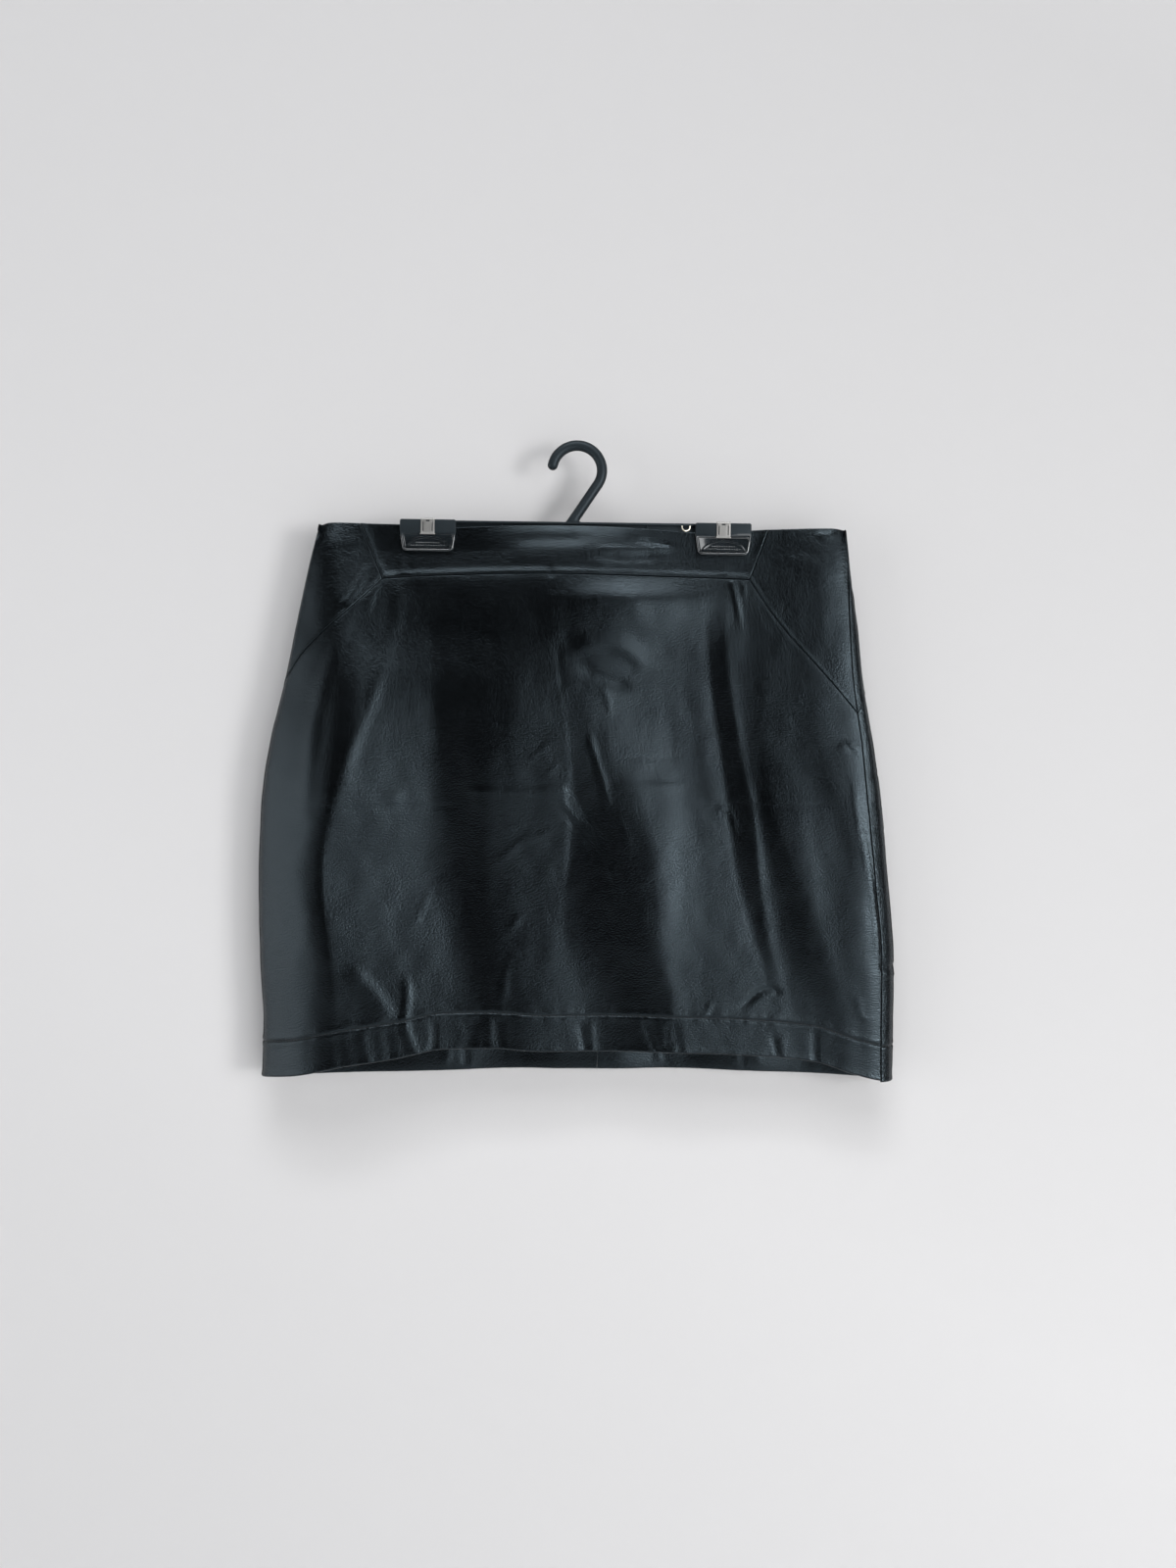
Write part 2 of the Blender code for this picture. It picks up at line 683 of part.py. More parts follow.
def build_bar(material, collection, helpers):
    """The bar: a web with a rear jaw at each end, under a flange with two ribs."""
    overlap, flange_step, rib_overlap = 2.0, 0.5, 0.5
    web_end = JAW_X - JAW_WIDTH / 2 + overlap
    bar_half = JAW_THICKNESS / 2
    web = box_mesh("bar_web", (-web_end, -bar_half, WEB_BOTTOM), (web_end, bar_half, BAR_TOP))
    bar = add_object("hanger_bar", web, material, collection)
    bar.matrix_world = Matrix.Rotation(HANGER_TILT, 4, "Y")
    for side, side_name in ((-1, "left"), (1, "right")):
        jaw = plate_mesh(
            f"rear_jaw_{side_name}", rounded_outline(jaw_corners(side * JAW_X)), -bar_half, bar_half)
        combine(bar, jaw, "UNION", helpers)
    flange = box_mesh(
        "bar_flange",
        (-web_end + flange_step, -BAR_HALF_DEPTH, BAR_TOP - FLANGE_HEIGHT),
        (web_end - flange_step, BAR_HALF_DEPTH, BAR_TOP + FLANGE_PROUD))
    combine(bar, flange, "UNION", helpers)
    rib_x, rib_half, rib_depth, rib_drop = 58.5, 0.6, 1.8, 2.4
    for side, side_name in ((-1, "left"), (1, "right")):
        rib = box_mesh(
            f"bar_rib_{side_name}",
            (side * rib_x - rib_half, -bar_half - rib_depth, BAR_TOP - FLANGE_HEIGHT - rib_drop),
            (side * rib_x + rib_half, -bar_half + rib_overlap, BAR_TOP - FLANGE_HEIGHT + rib_overlap))
        combine(bar, rib, "UNION", helpers)


def tube_object(name, route, radius, material, collection, resolution=2):
    """A round rod along a route of (x, y, z, thickness share)."""
    curve = bpy.data.curves.new(name, "CURVE")
    curve.dimensions = "3D"
    curve.bevel_depth = radius * METRES
    curve.bevel_resolution = resolution
    curve.use_fill_caps = True
    spline = curve.splines.new("POLY")
    spline.points.add(len(route) - 1)
    for point, (x, y, z, share) in zip(spline.points, route):
        point.co = (x * METRES, y * METRES, z * METRES, 1.0)
        point.radius = share
    return add_object(name, curve, material, collection)


def build_hook(material, collection):
    """The hook: a rounded tip, the crown over the seat, and a slanted stem to the bar."""
    centre_radius = HOOK_INNER_RADIUS + ROD_RADIUS
    centre = (0.0, -HOOK_INNER_RADIUS)
    crown = arc_points(centre, centre_radius, math.pi, -HOOK_STEM_TURN, 16)
    rounded_tip = ((-3.6, 0.45), (-2.9, 0.75), (-1.6, 0.93))
    route = [(crown[0][0], 0.0, crown[0][1] + rise, share) for rise, share in rounded_tip]
    route += [(x, 0.0, z, 1.0) for x, z in crown]
    stem_start = crown[-1]
    foot_z = BAR_TOP + FLANGE_PROUD + SEAM_GAP
    foot_rise, flare_rise = 2.6, 5.4
    slant = math.tan(HOOK_STEM_TURN)
    stem_foot_x = stem_start[0] - (stem_start[1] - foot_z - foot_rise) * slant
    flare_x = stem_foot_x + (flare_rise - foot_rise) * slant
    route.append((flare_x, 0.0, foot_z + flare_rise, 1.0))
    route.append((stem_foot_x, 0.0, foot_z + foot_rise, 1.1))
    route.append((stem_foot_x - 0.4, 0.0, foot_z + 1.0, 1.28))
    route.append((stem_foot_x - 0.4, 0.0, foot_z, 1.4))
    hook = tube_object("hanger_hook", route, ROD_RADIUS, material, collection, resolution=3)
    hook.matrix_world = Matrix.Rotation(HANGER_TILT, 4, "Y")


def build_clips(plastic, steel, collection, helpers):
    """A front jaw on each end of the bar, and the bent strip that presses it shut."""
    face_y = CLOTH_PLANE_Y - PRESSED_HALF - SEAM_GAP
    recess_depth = 0.9
    jaw_front = face_y - JAW_THICKNESS
    for side, side_name in ((-1, "left"), (1, "right")):
        centre_x = side * JAW_X
        outline = rounded_outline(jaw_corners(centre_x))
        jaw = add_object(
            f"clip_jaw_{side_name}",
            plate_mesh(f"clip_jaw_{side_name}", outline, jaw_front, face_y), plastic, collection)
        jaw.matrix_world = Matrix.Rotation(HANGER_TILT, 4, "Y")
        recess = plate_mesh(
            f"jaw_recess_{side_name}", jaw_recess_outline(centre_x),
            jaw_front - 1.0, jaw_front + recess_depth)
        combine(jaw, recess, "DIFFERENCE", helpers)
        spring = add_object(
            f"clip_spring_{side_name}", spring_mesh(f"clip_spring_{side_name}", centre_x, jaw_front),
            steel, collection)
        spring.matrix_world = Matrix.Rotation(HANGER_TILT, 4, "Y")


def spring_mesh(name, centre_x, jaw_front):
    """A strip bent over both jaws, its section an open U seen from the side."""
    inner_front = jaw_front - SEAM_GAP
    inner_back = JAW_THICKNESS / 2 + SEAM_GAP
    inner_top = BAR_TOP + SEAM_GAP
    low = BAR_TOP - SPRING_LEG
    bend = 0.6
    inner = [
        (inner_front, low, 0.0),
        (inner_front, inner_top, bend),
        (inner_back, inner_top, bend),
        (inner_back, low, 0.0),
    ]
    outer = [
        (inner_back + SPRING_THICKNESS, low, 0.0),
        (inner_back + SPRING_THICKNESS, inner_top + SPRING_THICKNESS, bend + SPRING_THICKNESS),
        (inner_front - SPRING_THICKNESS, inner_top + SPRING_THICKNESS, bend + SPRING_THICKNESS),
        (inner_front - SPRING_THICKNESS, low, 0.0),
    ]
    section = rounded_outline(inner + outer)
    half = SPRING_WIDTH / 2
    mesh = plate_mesh(name, section, -half, half)
    quarter_turn = Matrix.Rotation(math.radians(90), 4, "Z")
    mesh.transform(Matrix.Translation((centre_x * METRES, 0.0, 0.0)) @ quarter_turn)
    return mesh


def build_loop(material, collection):
    """A small wire loop, open at the top, in front of the bar beside the right clip."""
    half = LOOP_WIDTH / 2
    route = [(LOOP_CENTRE.x - half, LOOP_CENTRE.y, LOOP_CENTRE.z + 0.8, 1.0)]
    for step in range(9):
        angle = math.pi * (1.0 + step / 8)
        route.append((
            LOOP_CENTRE.x + half * math.cos(angle),
            LOOP_CENTRE.y,
            LOOP_CENTRE.z + LOOP_DEPTH * math.sin(angle),
            1.0,
        ))
    route.append((LOOP_CENTRE.x + half, LOOP_CENTRE.y, LOOP_CENTRE.z + 0.8, 1.0))
    tube_object("waist_loop", route, LOOP_WIRE_RADIUS, material, collection)


def main():
    clear_scene()
    parts = make_collection(COLLECTION_NAME)
    helpers = make_collection("helpers")
    leather = make_material("black_leather", LEATHER_BLACK)
    plastic = make_material("black_plastic", PLASTIC_BLACK)
    steel = make_material("spring_steel", STEEL)
    gilt = make_material("gilt_wire", GILT_WIRE)
    build_front(leather, parts)
    build_back(leather, parts)
    build_bar(plastic, parts, helpers)
    build_hook(plastic, parts)
    build_clips(plastic, steel, parts, helpers)
    build_loop(gilt, parts)


main()
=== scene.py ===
import math

import bpy
import numpy as np
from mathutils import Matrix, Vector, noise


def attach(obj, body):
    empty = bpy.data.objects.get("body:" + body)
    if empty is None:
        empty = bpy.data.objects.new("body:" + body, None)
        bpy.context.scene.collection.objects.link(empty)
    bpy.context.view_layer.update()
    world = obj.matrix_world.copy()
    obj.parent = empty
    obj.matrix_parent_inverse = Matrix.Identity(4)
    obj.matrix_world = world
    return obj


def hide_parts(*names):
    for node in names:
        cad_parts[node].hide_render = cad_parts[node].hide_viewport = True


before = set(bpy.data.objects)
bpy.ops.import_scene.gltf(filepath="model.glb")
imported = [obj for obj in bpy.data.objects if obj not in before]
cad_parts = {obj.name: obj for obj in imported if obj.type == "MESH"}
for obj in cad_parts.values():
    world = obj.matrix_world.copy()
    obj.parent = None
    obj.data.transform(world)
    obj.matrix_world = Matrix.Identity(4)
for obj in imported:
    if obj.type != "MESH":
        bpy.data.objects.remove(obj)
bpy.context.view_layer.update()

MM = 0.001

# ---------------------------------------------------------------- front yoke
# The low trapezoid of faux leather under the waist, between the two slanted seams.
# Its edges are turned in over the seam allowance, so it stands a little proud of the
# pieces round it. This section also holds the form of the whole skirt as it hangs:
# level sections, the clips' and the bar's hold, the big folds and the small creases.

# z, left edge, right edge, seam's distance in from the right edge, side's turning radius,
# back's bulge and the plane between front and back, in millimetres.
LEVELS = np.array((
    (-500.0, -249.9, 249.9, 11.4, 7.0, 8.0, 3.6),
    (-450.0, -248.4, 251.0, 12.4, 6.8, 8.0, 3.6),
    (-400.0, -251.0, 251.4, 12.4, 6.5, 8.0, 3.4),
    (-340.0, -252.0, 247.1, 13.0, 6.0, 8.0, 3.0),
    (-280.0, -250.2, 241.6, 13.2, 5.4, 7.5, 2.0),
    (-230.0, -243.1, 234.4, 11.0, 4.8, 7.0, 0.8),
    (-180.0, -230.1, 226.1, 9.6, 4.3, 6.0, -0.8),
    (-130.0, -219.7, 220.5, 6.6, 3.1, 4.0, -2.4),
    (-90.0, -211.0, 215.1, 2.0, 2.2, 2.0, -3.4),
    (-50.0, -201.0, 211.2, 0.8, 1.7, 0.5, -3.4),
))
PRESSED_HALF = 1.65
HANGER_TILT = math.radians(0.77)
CLIP_X, CLIP_Z = 116.0, -79.4

# The front hangs in folds. Each row is a line that runs down the cloth: its x at every fold
# level, and how far the cloth leans to the right beside it, in degrees, near the waist, at
# the hip, lower down and at the hem. A second set is for the right side of a crest or groove.
FOLD_LEVELS = (-90, -117, -147, -193, -239, -285, -331, -376, -422, -453)
LEAN_LEVELS = (-90, -193, -331, -453)
SIDE_LEAN = 30.0
WAIST_LEAN = 0.0046
FRONT_LINES = (
    # inner edge of the strip that turns to the left side
    ((-194, -191, -192, -190, -196, -211, -220, -216, -221, -220), (-16, -18, -24, -24)),
    # hollow before the left crest
    ((-186, -182, -182, -176, -182, -193, -203, -199, -194, -197), (0, -4, -8, -6)),
    # left crest
    ((-165, -170, -173, -168, -176, -189, -197, -192, -187, -186), (6, 0, -4, 0), (6, 8, 14, 8)),
    # fall from it
    ((-150, -151, -153, -151, -150, -155, -159, -155, -150, -148), (6, 8, 14, 8)),
    # where the fall ends
    ((-137, -132, -116, -113, -116, -118, -121, -107, -102, -104), (2, 8, 12, 10)),
    # rise to the middle begins
    ((-93, -99, -104, -104, -103, -100, -96, -92, -83, -84), (-2, -2, 2, 4)),
    # steepest of that rise
    ((-83, -84, -90, -90, -84, -80, -83, -80, -73, -71), (-4, -4, -8, 2)),
    # where it ends
    ((-67, -70, -70, -72, -67, -65, -66, -58, -58, -60), (-2, 0, 2, 2)),
    # flat left of the middle
    ((-45, -45, -45, -45, -45, -45, -48, -45, -46, -46), (0, 2, 4, 2)),
    # end of the flat
    ((-18, -20, -20, -11, -8, -12, -12, -17, -31, -33), (0, 2, 4, 6)),
    # middle crease
    ((-8, -8, -9, -6, -4, -3, -8, -10, 1, 1), (0, 4, 6, 8), (0, 2, 0, 8)),
    # rise right of the middle begins
    ((9, 9, 12, 9, 6, 6, 6, 12, 26, 33), (2, 2, -6, 0)),
    # steepest of that rise
    ((28, 28, 28, 20, 20, 21, 18, 32, 43, 47), (2, 4, -10, -6)),
    # crest right of the middle
    ((39, 39, 39, 25, 32, 55, 64, 64, 72, 78), (0, 6, 0, -2), (0, 6, 6, 4)),
    # steepest fall from it
    ((55, 55, 66, 47, 66, 78, 76, 75, 79, 89), (2, 6, 10, 6)),
    # where that fall eases
    ((85, 89, 91, 96, 97, 104, 108, 107, 101, 107), (2, 0, 2, 4)),
    # where the cloth tips to the left groove
    ((98, 96, 97, 101, 108, 113, 120, 131, 143, 147), (2, 2, 4, 4)),
    # left groove
    ((104, 102, 103, 107, 114, 120, 126, 138, 151, 154), (2, 4, 8, 4), (0, -10, -6, 4)),
    # foot of the thin ridge
    ((116, 116, 117, 122, 130, 139, 143, 149, 160, 164), (0, -12, -12, 4), (0, 4, 6, 6)),
    # far side of the thin ridge
    ((125, 134, 136, 131, 135, 144, 152, 159, 166, 170), (0, -2, 0, 6), (0, -4, -8, 4)),
    # steepest rise to the right bulge
    ((135, 143, 146, 143, 145, 151, 165, 178, 189, 197), (-2, -6, -14, -2)),
    # where that rise eases
    ((150, 150, 154, 154, 155, 160, 171, 188, 200, 209), (-4, -4, -6, -4)),
    # top of the right bulge
    ((162, 162, 166, 163, 171, 181, 188, 193, 209, 213), (-2, -4, 2, 0)),
    # hollow right of it
    ((173, 173, 175, 174, 189, 206, 217, 205, 215, 220), (2, -8, -6, 2)),
    # before the side seam
    ((191, 192, 194, 189, 198, 211, 220, 215, 222, 226), (4, -4, -4, 2)),
    # groove beside the side seam
    ((200, 202, 204, 209, 212, 215, 223, 223, 227, 229), (6, 0, -2, 4)),
    # ridge over the side seam
    ((205, 209, 212, 217, 223, 224, 228, 232, 233, 235), (10, 6, 12, 12)),
)
# Each back fold: its crest's x and z at top, middle and foot, how far its left foot, left
# brow, right brow and right foot lie from the crest, its height, and how far it fades below.
BACK_FOLDS = (
    (-150.0, -130.0, -168.0, -300.0, -184.0, -470.0, 46.0, 4.0, 4.0, 62.0, 5.0, 90.0),
    (-40.0, -150.0, -44.0, -300.0, -52.0, -470.0, 54.0, 6.0, 6.0, 40.0, 4.5, 90.0),
    (64.0, -140.0, 66.0, -300.0, 74.0, -470.0, 42.0, 4.0, 8.0, 60.0, 5.0, 90.0),
    (160.0, -130.0, 176.0, -300.0, 190.0, -470.0, 50.0, 4.0, 4.0, 40.0, 4.0, 90.0),
)

# Small creases: height in millimetres (below zero for a trough), reach to the left of a
# falling line or under a level one, reach to the other side, sharpness, fade at the start
# and at the end as shares of the length, and the line's points.
FRONT_CREASES = (
    # front yoke: the dent in the middle, the pull into the right clip, the pinch at the seam
    (-0.5, 8.0, 7.0, 0.0, 0.35, 0.35, ((-62, -71), (-18, -70), (24, -71))),
    (-1.7, 3.4, 3.6, 0.2, 0.50, 0.00, ((36, -69.5), (62, -72), (86, -76.5), (94, -79))),
    (-0.7, 6.0, 6.0, 0.0, 0.40, 0.30, ((2, -82), (39, -85), (74, -83))),
    (0.5, 4.0, 4.0, 0.0, 0.30, 0.20, ((10, -77), (45, -78), (80, -77))),
    (-0.8, 2.4, 3.4, 0.4, 0.50, 0.00, ((-22, -90), (-21, -94), (-19.6, -99))),
    (0.5, 5.0, 7.0, 0.0, 0.30, 0.10, ((-138, -80), (-137, -98))),
    (0.4, 5.0, 7.0, 0.0, 0.30, 0.10, ((118, -84), (114, -99))),
    # side yokes
    (0.3, 12.0, 10.0, 0.0, 0.30, 0.30, ((150, -80), (180, -88), (206, -104))),
    (0.7, 5.0, 4.0, 0.2, 0.40, 0.30, ((186, -66), (196, -67), (205, -64))),
    (0.6, 5.0, 7.0, 0.0, 0.30, 0.10, ((-164, -86), (-172, -108), (-182, -124))),
    # under the yoke's seam
    (5.4, 42.0, 22.0, 0.0, 0.50, 0.55, ((-40, -119), (46, -120), (138, -117))),
    (1.3, 9.0, 14.0, 0.1, 0.25, 0.30, ((-8, -156), (24, -153), (45, -161), (55, -178))),
    (-1.0, 7.0, 8.0, 0.0, 0.30, 0.30, ((-2, -170), (24, -181), (46, -189))),
    (0.35, 5.0, 5.0, 0.2, 0.30, 0.40, ((18, -184), (24, -196), (28, -212))),
    # upper left, streaks that run down from the yoke's corner
    (0.55, 7.0, 9.0, 0.1, 0.08, 0.25, ((-143, -102), (-140, -117), (-143, -140), (-148, -155), (-154, -178),
                                      (-160, -201), (-169, -224), (-177, -247), (-182, -272))),
    (0.8, 10.0, 9.0, 0.0, 0.15, 0.25, ((-178, -122), (-184, -148), (-192, -171), (-198, -190), (-203, -213),
                                       (-206, -239), (-209, -270), (-212, -300))),
    (0.5, 4.0, 5.0, 0.0, 0.10, 0.50, ((-155, -102), (-161, -117), (-166, -135))),
    # the middle crease
    (-0.18, 2.6, 14.0, 0.7, 0.12, 0.10, ((-11, -192), (-8.5, -203), (-6, -226), (-4, -250), (-3, -266))),
    (-0.3, 3.0, 12.0, 0.7, 0.20, 0.15, ((-6, -284), (-4.6, -300), (-6, -322), (-8, -344))),
    (-0.3, 3.0, 5.0, 0.3, 0.30, 0.20, ((-16, -150), (-14, -170), (-10, -190))),
    (0.8, 3.6, 5.0, 0.2, 0.25, 0.25, ((8, -218), (15, -243), (21, -262), (26, -288))),
    (-0.45, 4.0, 5.5, 0.4, 0.15, 0.50, ((-5, -264), (4, -281), (15, -299), (30, -324))),
    (0.5, 3.4, 3.6, 0.3, 0.25, 0.50, ((-12, -273), (-1, -289), (9, -304))),
    (-0.45, 3.0, 4.0, 0.4, 0.20, 0.50, ((-15, -281), (1, -297), (14, -315), (22, -330))),
    (0.35, 3.0, 3.4, 0.2, 0.30, 0.50, ((10, -284), (18, -298), (27, -316))),
    (0.6, 3.5, 4.0, 0.2, 0.30, 0.40, ((24, -322), (31, -342), (36, -360))),
    (0.3, 4.0, 4.0, 0.1, 0.30, 0.50, ((31, -282), (38, -300), (42, -318))),
    (0.45, 3.5, 4.5, 0.2, 0.35, 0.35, ((-64, -327), (-46, -309), (-30, -298))),
    (0.35, 3.0, 4.0, 0.2, 0.35, 0.35, ((-48, -313), (-33, -305), (-14, -295))),
    (0.35, 3.0, 3.5, 0.2, 0.35, 0.35, ((-38, -245), (-28, -236), (-18, -229))),
    (0.30, 3.0, 3.5, 0.2, 0.35, 0.35, ((-26, -258), (-18, -250), (-10, -243))),
    (0.5, 4.0, 5.0, 0.2, 0.40, 0.40, ((-54, -380), (-48, -370), (-40, -362))),
    (0.6, 4.0, 5.0, 0.2, 0.40, 0.20, ((-53, -396), (-56, -414), (-58, -434))),
    # creases from when it lay folded
    (0.9, 30.0, 2.4, 0.8, 0.15, 0.05, ((-88, -266.5), (-44, -266.2), (-6, -265.4))),
    (0.6, 24.0, 2.4, 0.8, 0.20, 0.20, ((-200, -269), (-165, -269.6), (-130, -269))),
    (0.35, 14.0, 2.4, 0.6, 0.20, 0.20, ((32, -262), (60, -262.6), (88, -261.6))),
    (-0.35, 2.2, 2.2, 0.6, 0.20, 0.20, ((30, -241), (58, -242), (84, -241))),
    (-0.40, 2.4, 2.4, 0.6, 0.15, 0.20, ((-226, -281), (-188, -281), (-142, -280.2), (-84, -279.4))),
    (-0.35, 2.4, 2.4, 0.6, 0.20, 0.20, ((112, -278.5), (160, -280.2), (204, -278.6))),
    # beside the two sharp grooves right of the middle
    (0.9, 3.0, 4.0, 0.3, 0.05, 0.50, ((121.5, -101), (125, -117), (130, -144))),
    (0.6, 2.4, 3.0, 0.3, 0.05, 0.60, ((130.5, -103), (133, -118))),
    (0.6, 3.0, 3.0, 0.3, 0.30, 0.30, ((107, -286), (115, -281.5), (122, -286), (126, -302))),
    (-1.3, 3.0, 5.0, 0.4, 0.10, 0.40, ((161, -427), (152, -422), (144, -424), (134, -431.5), (122, -441))),
    (0.5, 3.0, 3.0, 0.2, 0.40, 0.30, ((98, -447), (103, -438), (107, -431))),
    # right of the ridges
    (0.5, 3.5, 3.5, 0.2, 0.30, 0.30, ((219, -425), (223, -444), (232, -447))),
    (0.8, 4.0, 4.0, 0.3, 0.30, 0.30, ((205, -238), (213, -230.5), (222, -238))),
    (0.8, 3.2, 3.0, 0.2, 0.10, 0.15, ((217, -258), (219.5, -285), (223, -304), (228.5, -331), (233, -362),
                                      (235, -385), (235, -410))),
    # lower left
    (1.3, 4.0, 4.0, 0.2, 0.25, 0.00, ((-134, -406), (-131, -426), (-133, -445), (-127, -466), (-122, -474))),
    (1.2, 18.0, 9.0, 0.1, 0.30, 0.10, ((-178, -400), (-165, -414), (-152, -430), (-144, -446))),
    (0.3, 3.0, 3.0, 0.2, 0.30, 0.30, ((-186, -418), (-176, -428), (-168, -440))),
    (0.3, 4.0, 4.0, 0.0, 0.30, 0.30, ((-112, -336), (-121, -360), (-130, -378))),
    # puckers in the turned-up hem
    (-0.9, 3.0, 3.0, 0.2, 0.20, 0.00, ((-112, -444), (-110.5, -460), (-114, -473))),
    (-0.6, 3.0, 3.5, 0.2, 0.20, 0.00, ((-91, -443), (-84, -456), (-89, -471))),
    (-0.9, 2.4, 3.0, 0.2, 0.20, 0.00, ((-81, -443), (-80.5, -456), (-82, -469))),
    (0.7, 3.0, 3.0, 0.2, 0.20, 0.00, ((-70, -444), (-67, -469))),
    (-0.8, 3.0, 4.0, 0.2, 0.20, 0.00, ((-63, -443), (-59, -468))),
    (-0.5, 4.0, 3.0, 0.1, 0.30, 0.00, ((2, -445), (7, -474))),
    (0.4, 3.5, 3.5, 0.1, 0.30, 0.00, ((11, -445), (13, -473))),
    (-1.2, 4.0, 2.6, 0.4, 0.30, 0.00, ((52, -442), (60, -464), (66, -475))),
    (0.8, 2.6, 2.6, 0.2, 0.20, 0.20, ((64, -446), (67, -458), (66, -470))),
    (-0.8, 3.0, 3.0, 0.3, 0.20, 0.00, ((75, -445), (78, -459), (81, -473))),
    (-0.9, 3.0, 3.0, 0.3, 0.30, 0.00, ((152, -456), (155, -466), (158, -477))),
    (0.6, 2.6, 2.6, 0.2, 0.30, 0.10, ((162, -458), (159, -476))),
    (-1.0, 3.4, 2.2, 0.4, 0.20, 0.00, ((186, -452), (186, -465), (187, -478))),
    (-0.5, 6.0, 6.0, 0.0, 0.30, 0.00, ((-186, -454), (-179, -480))),
    (0.6, 6.0, 5.0, 0.0, 0.30, 0.00, ((-167, -452), (-160, -476))),
    (-0.5, 5.0, 5.0, 0.0, 0.30, 0.00, ((-148, -450), (-143, -474))),
    # tucks in the strip of back panel that turns round the right side
    (-0.8, 2.6, 3.4, 0.3, 0.05, 0.20, ((229, -257), (238, -254), (254, -263))),
    (-0.4, 2.4, 2.4, 0.3, 0.10, 0.20, ((231, -279), (252, -278))),
    (-0.5, 2.4, 2.6, 0.3, 0.10, 0.20, ((232, -301), (254, -298))),
    (-1.1, 2.4, 3.0, 0.3, 0.05, 0.05, ((237, -405), (248, -406), (258, -405))),
    (0.5, 3.0, 3.0, 0.2, 0.20, 0.20, ((238, -412), (258, -412))),
)
BACK_CREASES = (
    (1.4, 12.0, 9.0, 0.2, 0.20, 0.20, ((-120, -110), (-138, -160), (-156, -220), (-170, -290))),
    (1.6, 9.0, 14.0, 0.3, 0.15, 0.20, ((114, -108), (122, -170), (138, -240), (150, -320), (158, -400))),
    (-1.2, 6.0, 8.0, 0.3, 0.30, 0.30, ((-70, -190), (-60, -260), (-64, -330), (-76, -400))),
    (1.3, 14.0, 8.0, 0.2, 0.20, 0.25, ((34, -150), (30, -230), (38, -310), (44, -400))),
    (0.9, 4.0, 5.0, 0.3, 0.30, 0.30, ((-20, -300), (-34, -330), (-44, -372))),
    (-0.8, 3.0, 4.0, 0.4, 0.30, 0.30, ((8, -240), (20, -262), (34, -290), (44, -326))),
    (0.6, 3.0, 4.0, 0.3, 0.30, 0.30, ((16, -236), (30, -262), (44, -292))),
    (0.8, 28.0, 2.6, 0.8, 0.15, 0.15, ((-190, -268), (-100, -266.5), (-8, -266))),
    (0.7, 28.0, 2.6, 0.8, 0.15, 0.15, ((8, -266), (90, -267), (180, -268.5))),
    (-0.4, 2.4, 2.4, 0.6, 0.20, 0.20, ((-200, -282), (-90, -281), (40, -281))),
    (-1.2, 3.0, 4.0, 0.3, 0.30, 0.00, ((-104, -430), (-100, -452), (-106, -486))),
    (0.9, 4.0, 4.0, 0.3, 0.30, 0.00, ((-92, -440), (-90, -486))),
    (-0.9, 3.0, 3.5, 0.3, 0.30, 0.00, ((62, -448), (66, -486))),
    (0.8, 4.0, 3.0, 0.3, 0.30, 0.00, ((128, -446), (134, -486))),
    (-0.8, 3.0, 3.0, 0.3, 0.30, 0.00, ((142, -450), (146, -486))),
    (1.0, 10.0, 8.0, 0.1, 0.30, 0.30, ((-196, -330), (-208, -380), (-214, -430))),
    (-0.9, 5.0, 6.0, 0.3, 0.20, 0.30, ((196, -300), (208, -340), (216, -390))),
)


def soft_step(start, end, value):
    share = np.clip((value - start) / (end - start), 0.0, 1.0)
    return share * share * (3.0 - 2.0 * share)


def smooth_curve(keys, values, at):
    """Values at the given places on a smooth curve through a table, level past its ends."""
    keys, values = np.asarray(keys, float), np.asarray(values, float)
    steps = np.diff(values) / np.diff(keys)
    before, after = steps[:-1], steps[1:]
    total = np.where(np.abs(before + after) < 1e-12, 1.0, before + after)
    inner = np.where(before * after > 0.0, 2.0 * before * after / total, 0.0)
    tangent = np.concatenate((steps[:1], inner, steps[-1:]))
    at = np.clip(at, keys[0], keys[-1])
    i = np.clip(np.searchsorted(keys, at, side="right") - 1, 0, len(keys) - 2)
    span = keys[i + 1] - keys[i]
    t = (at - keys[i]) / span
    return ((1 + 2 * t) * (1 - t) ** 2 * values[i] + t * t * (3 - 2 * t) * values[i + 1]
            + t * (1 - t) ** 2 * span * tangent[i] + t * t * (t - 1) * span * tangent[i + 1])


def level_at(z):
    """Left and right edge, seam inset, turning radius, back's bulge and side plane."""
    return [smooth_curve(LEVELS[:, 0], LEVELS[:, column], z) for column in range(1, LEVELS.shape[1])]


def clip_hold(x, z):
    """1 where a clip presses front and back together, fading to 0 round it."""
    free = np.ones_like(x)
    for side in (-1, 1):
        clip_x = side * CLIP_X * math.cos(HANGER_TILT) + CLIP_Z * math.sin(HANGER_TILT)
        clip_foot = CLIP_Z * math.cos(HANGER_TILT) - side * CLIP_X * math.sin(HANGER_TILT)
        across = 1.0 - soft_step(22.0, 106.0, np.abs(x - clip_x))
        free = free * (1.0 - across * (1.0 - np.clip((clip_foot - z) / 104.0, 0.0, 1.0)) ** 1.5)
    return 1.0 - free


def bar_hold(x, z):
    """1 where the back lies against the hanger's bar, fading to 0 below it."""
    across = 1.0 - soft_step(112.0, 152.0, np.abs(x))
    return across * (1.0 - soft_step(0.0, 60.0, -70.0 - z))


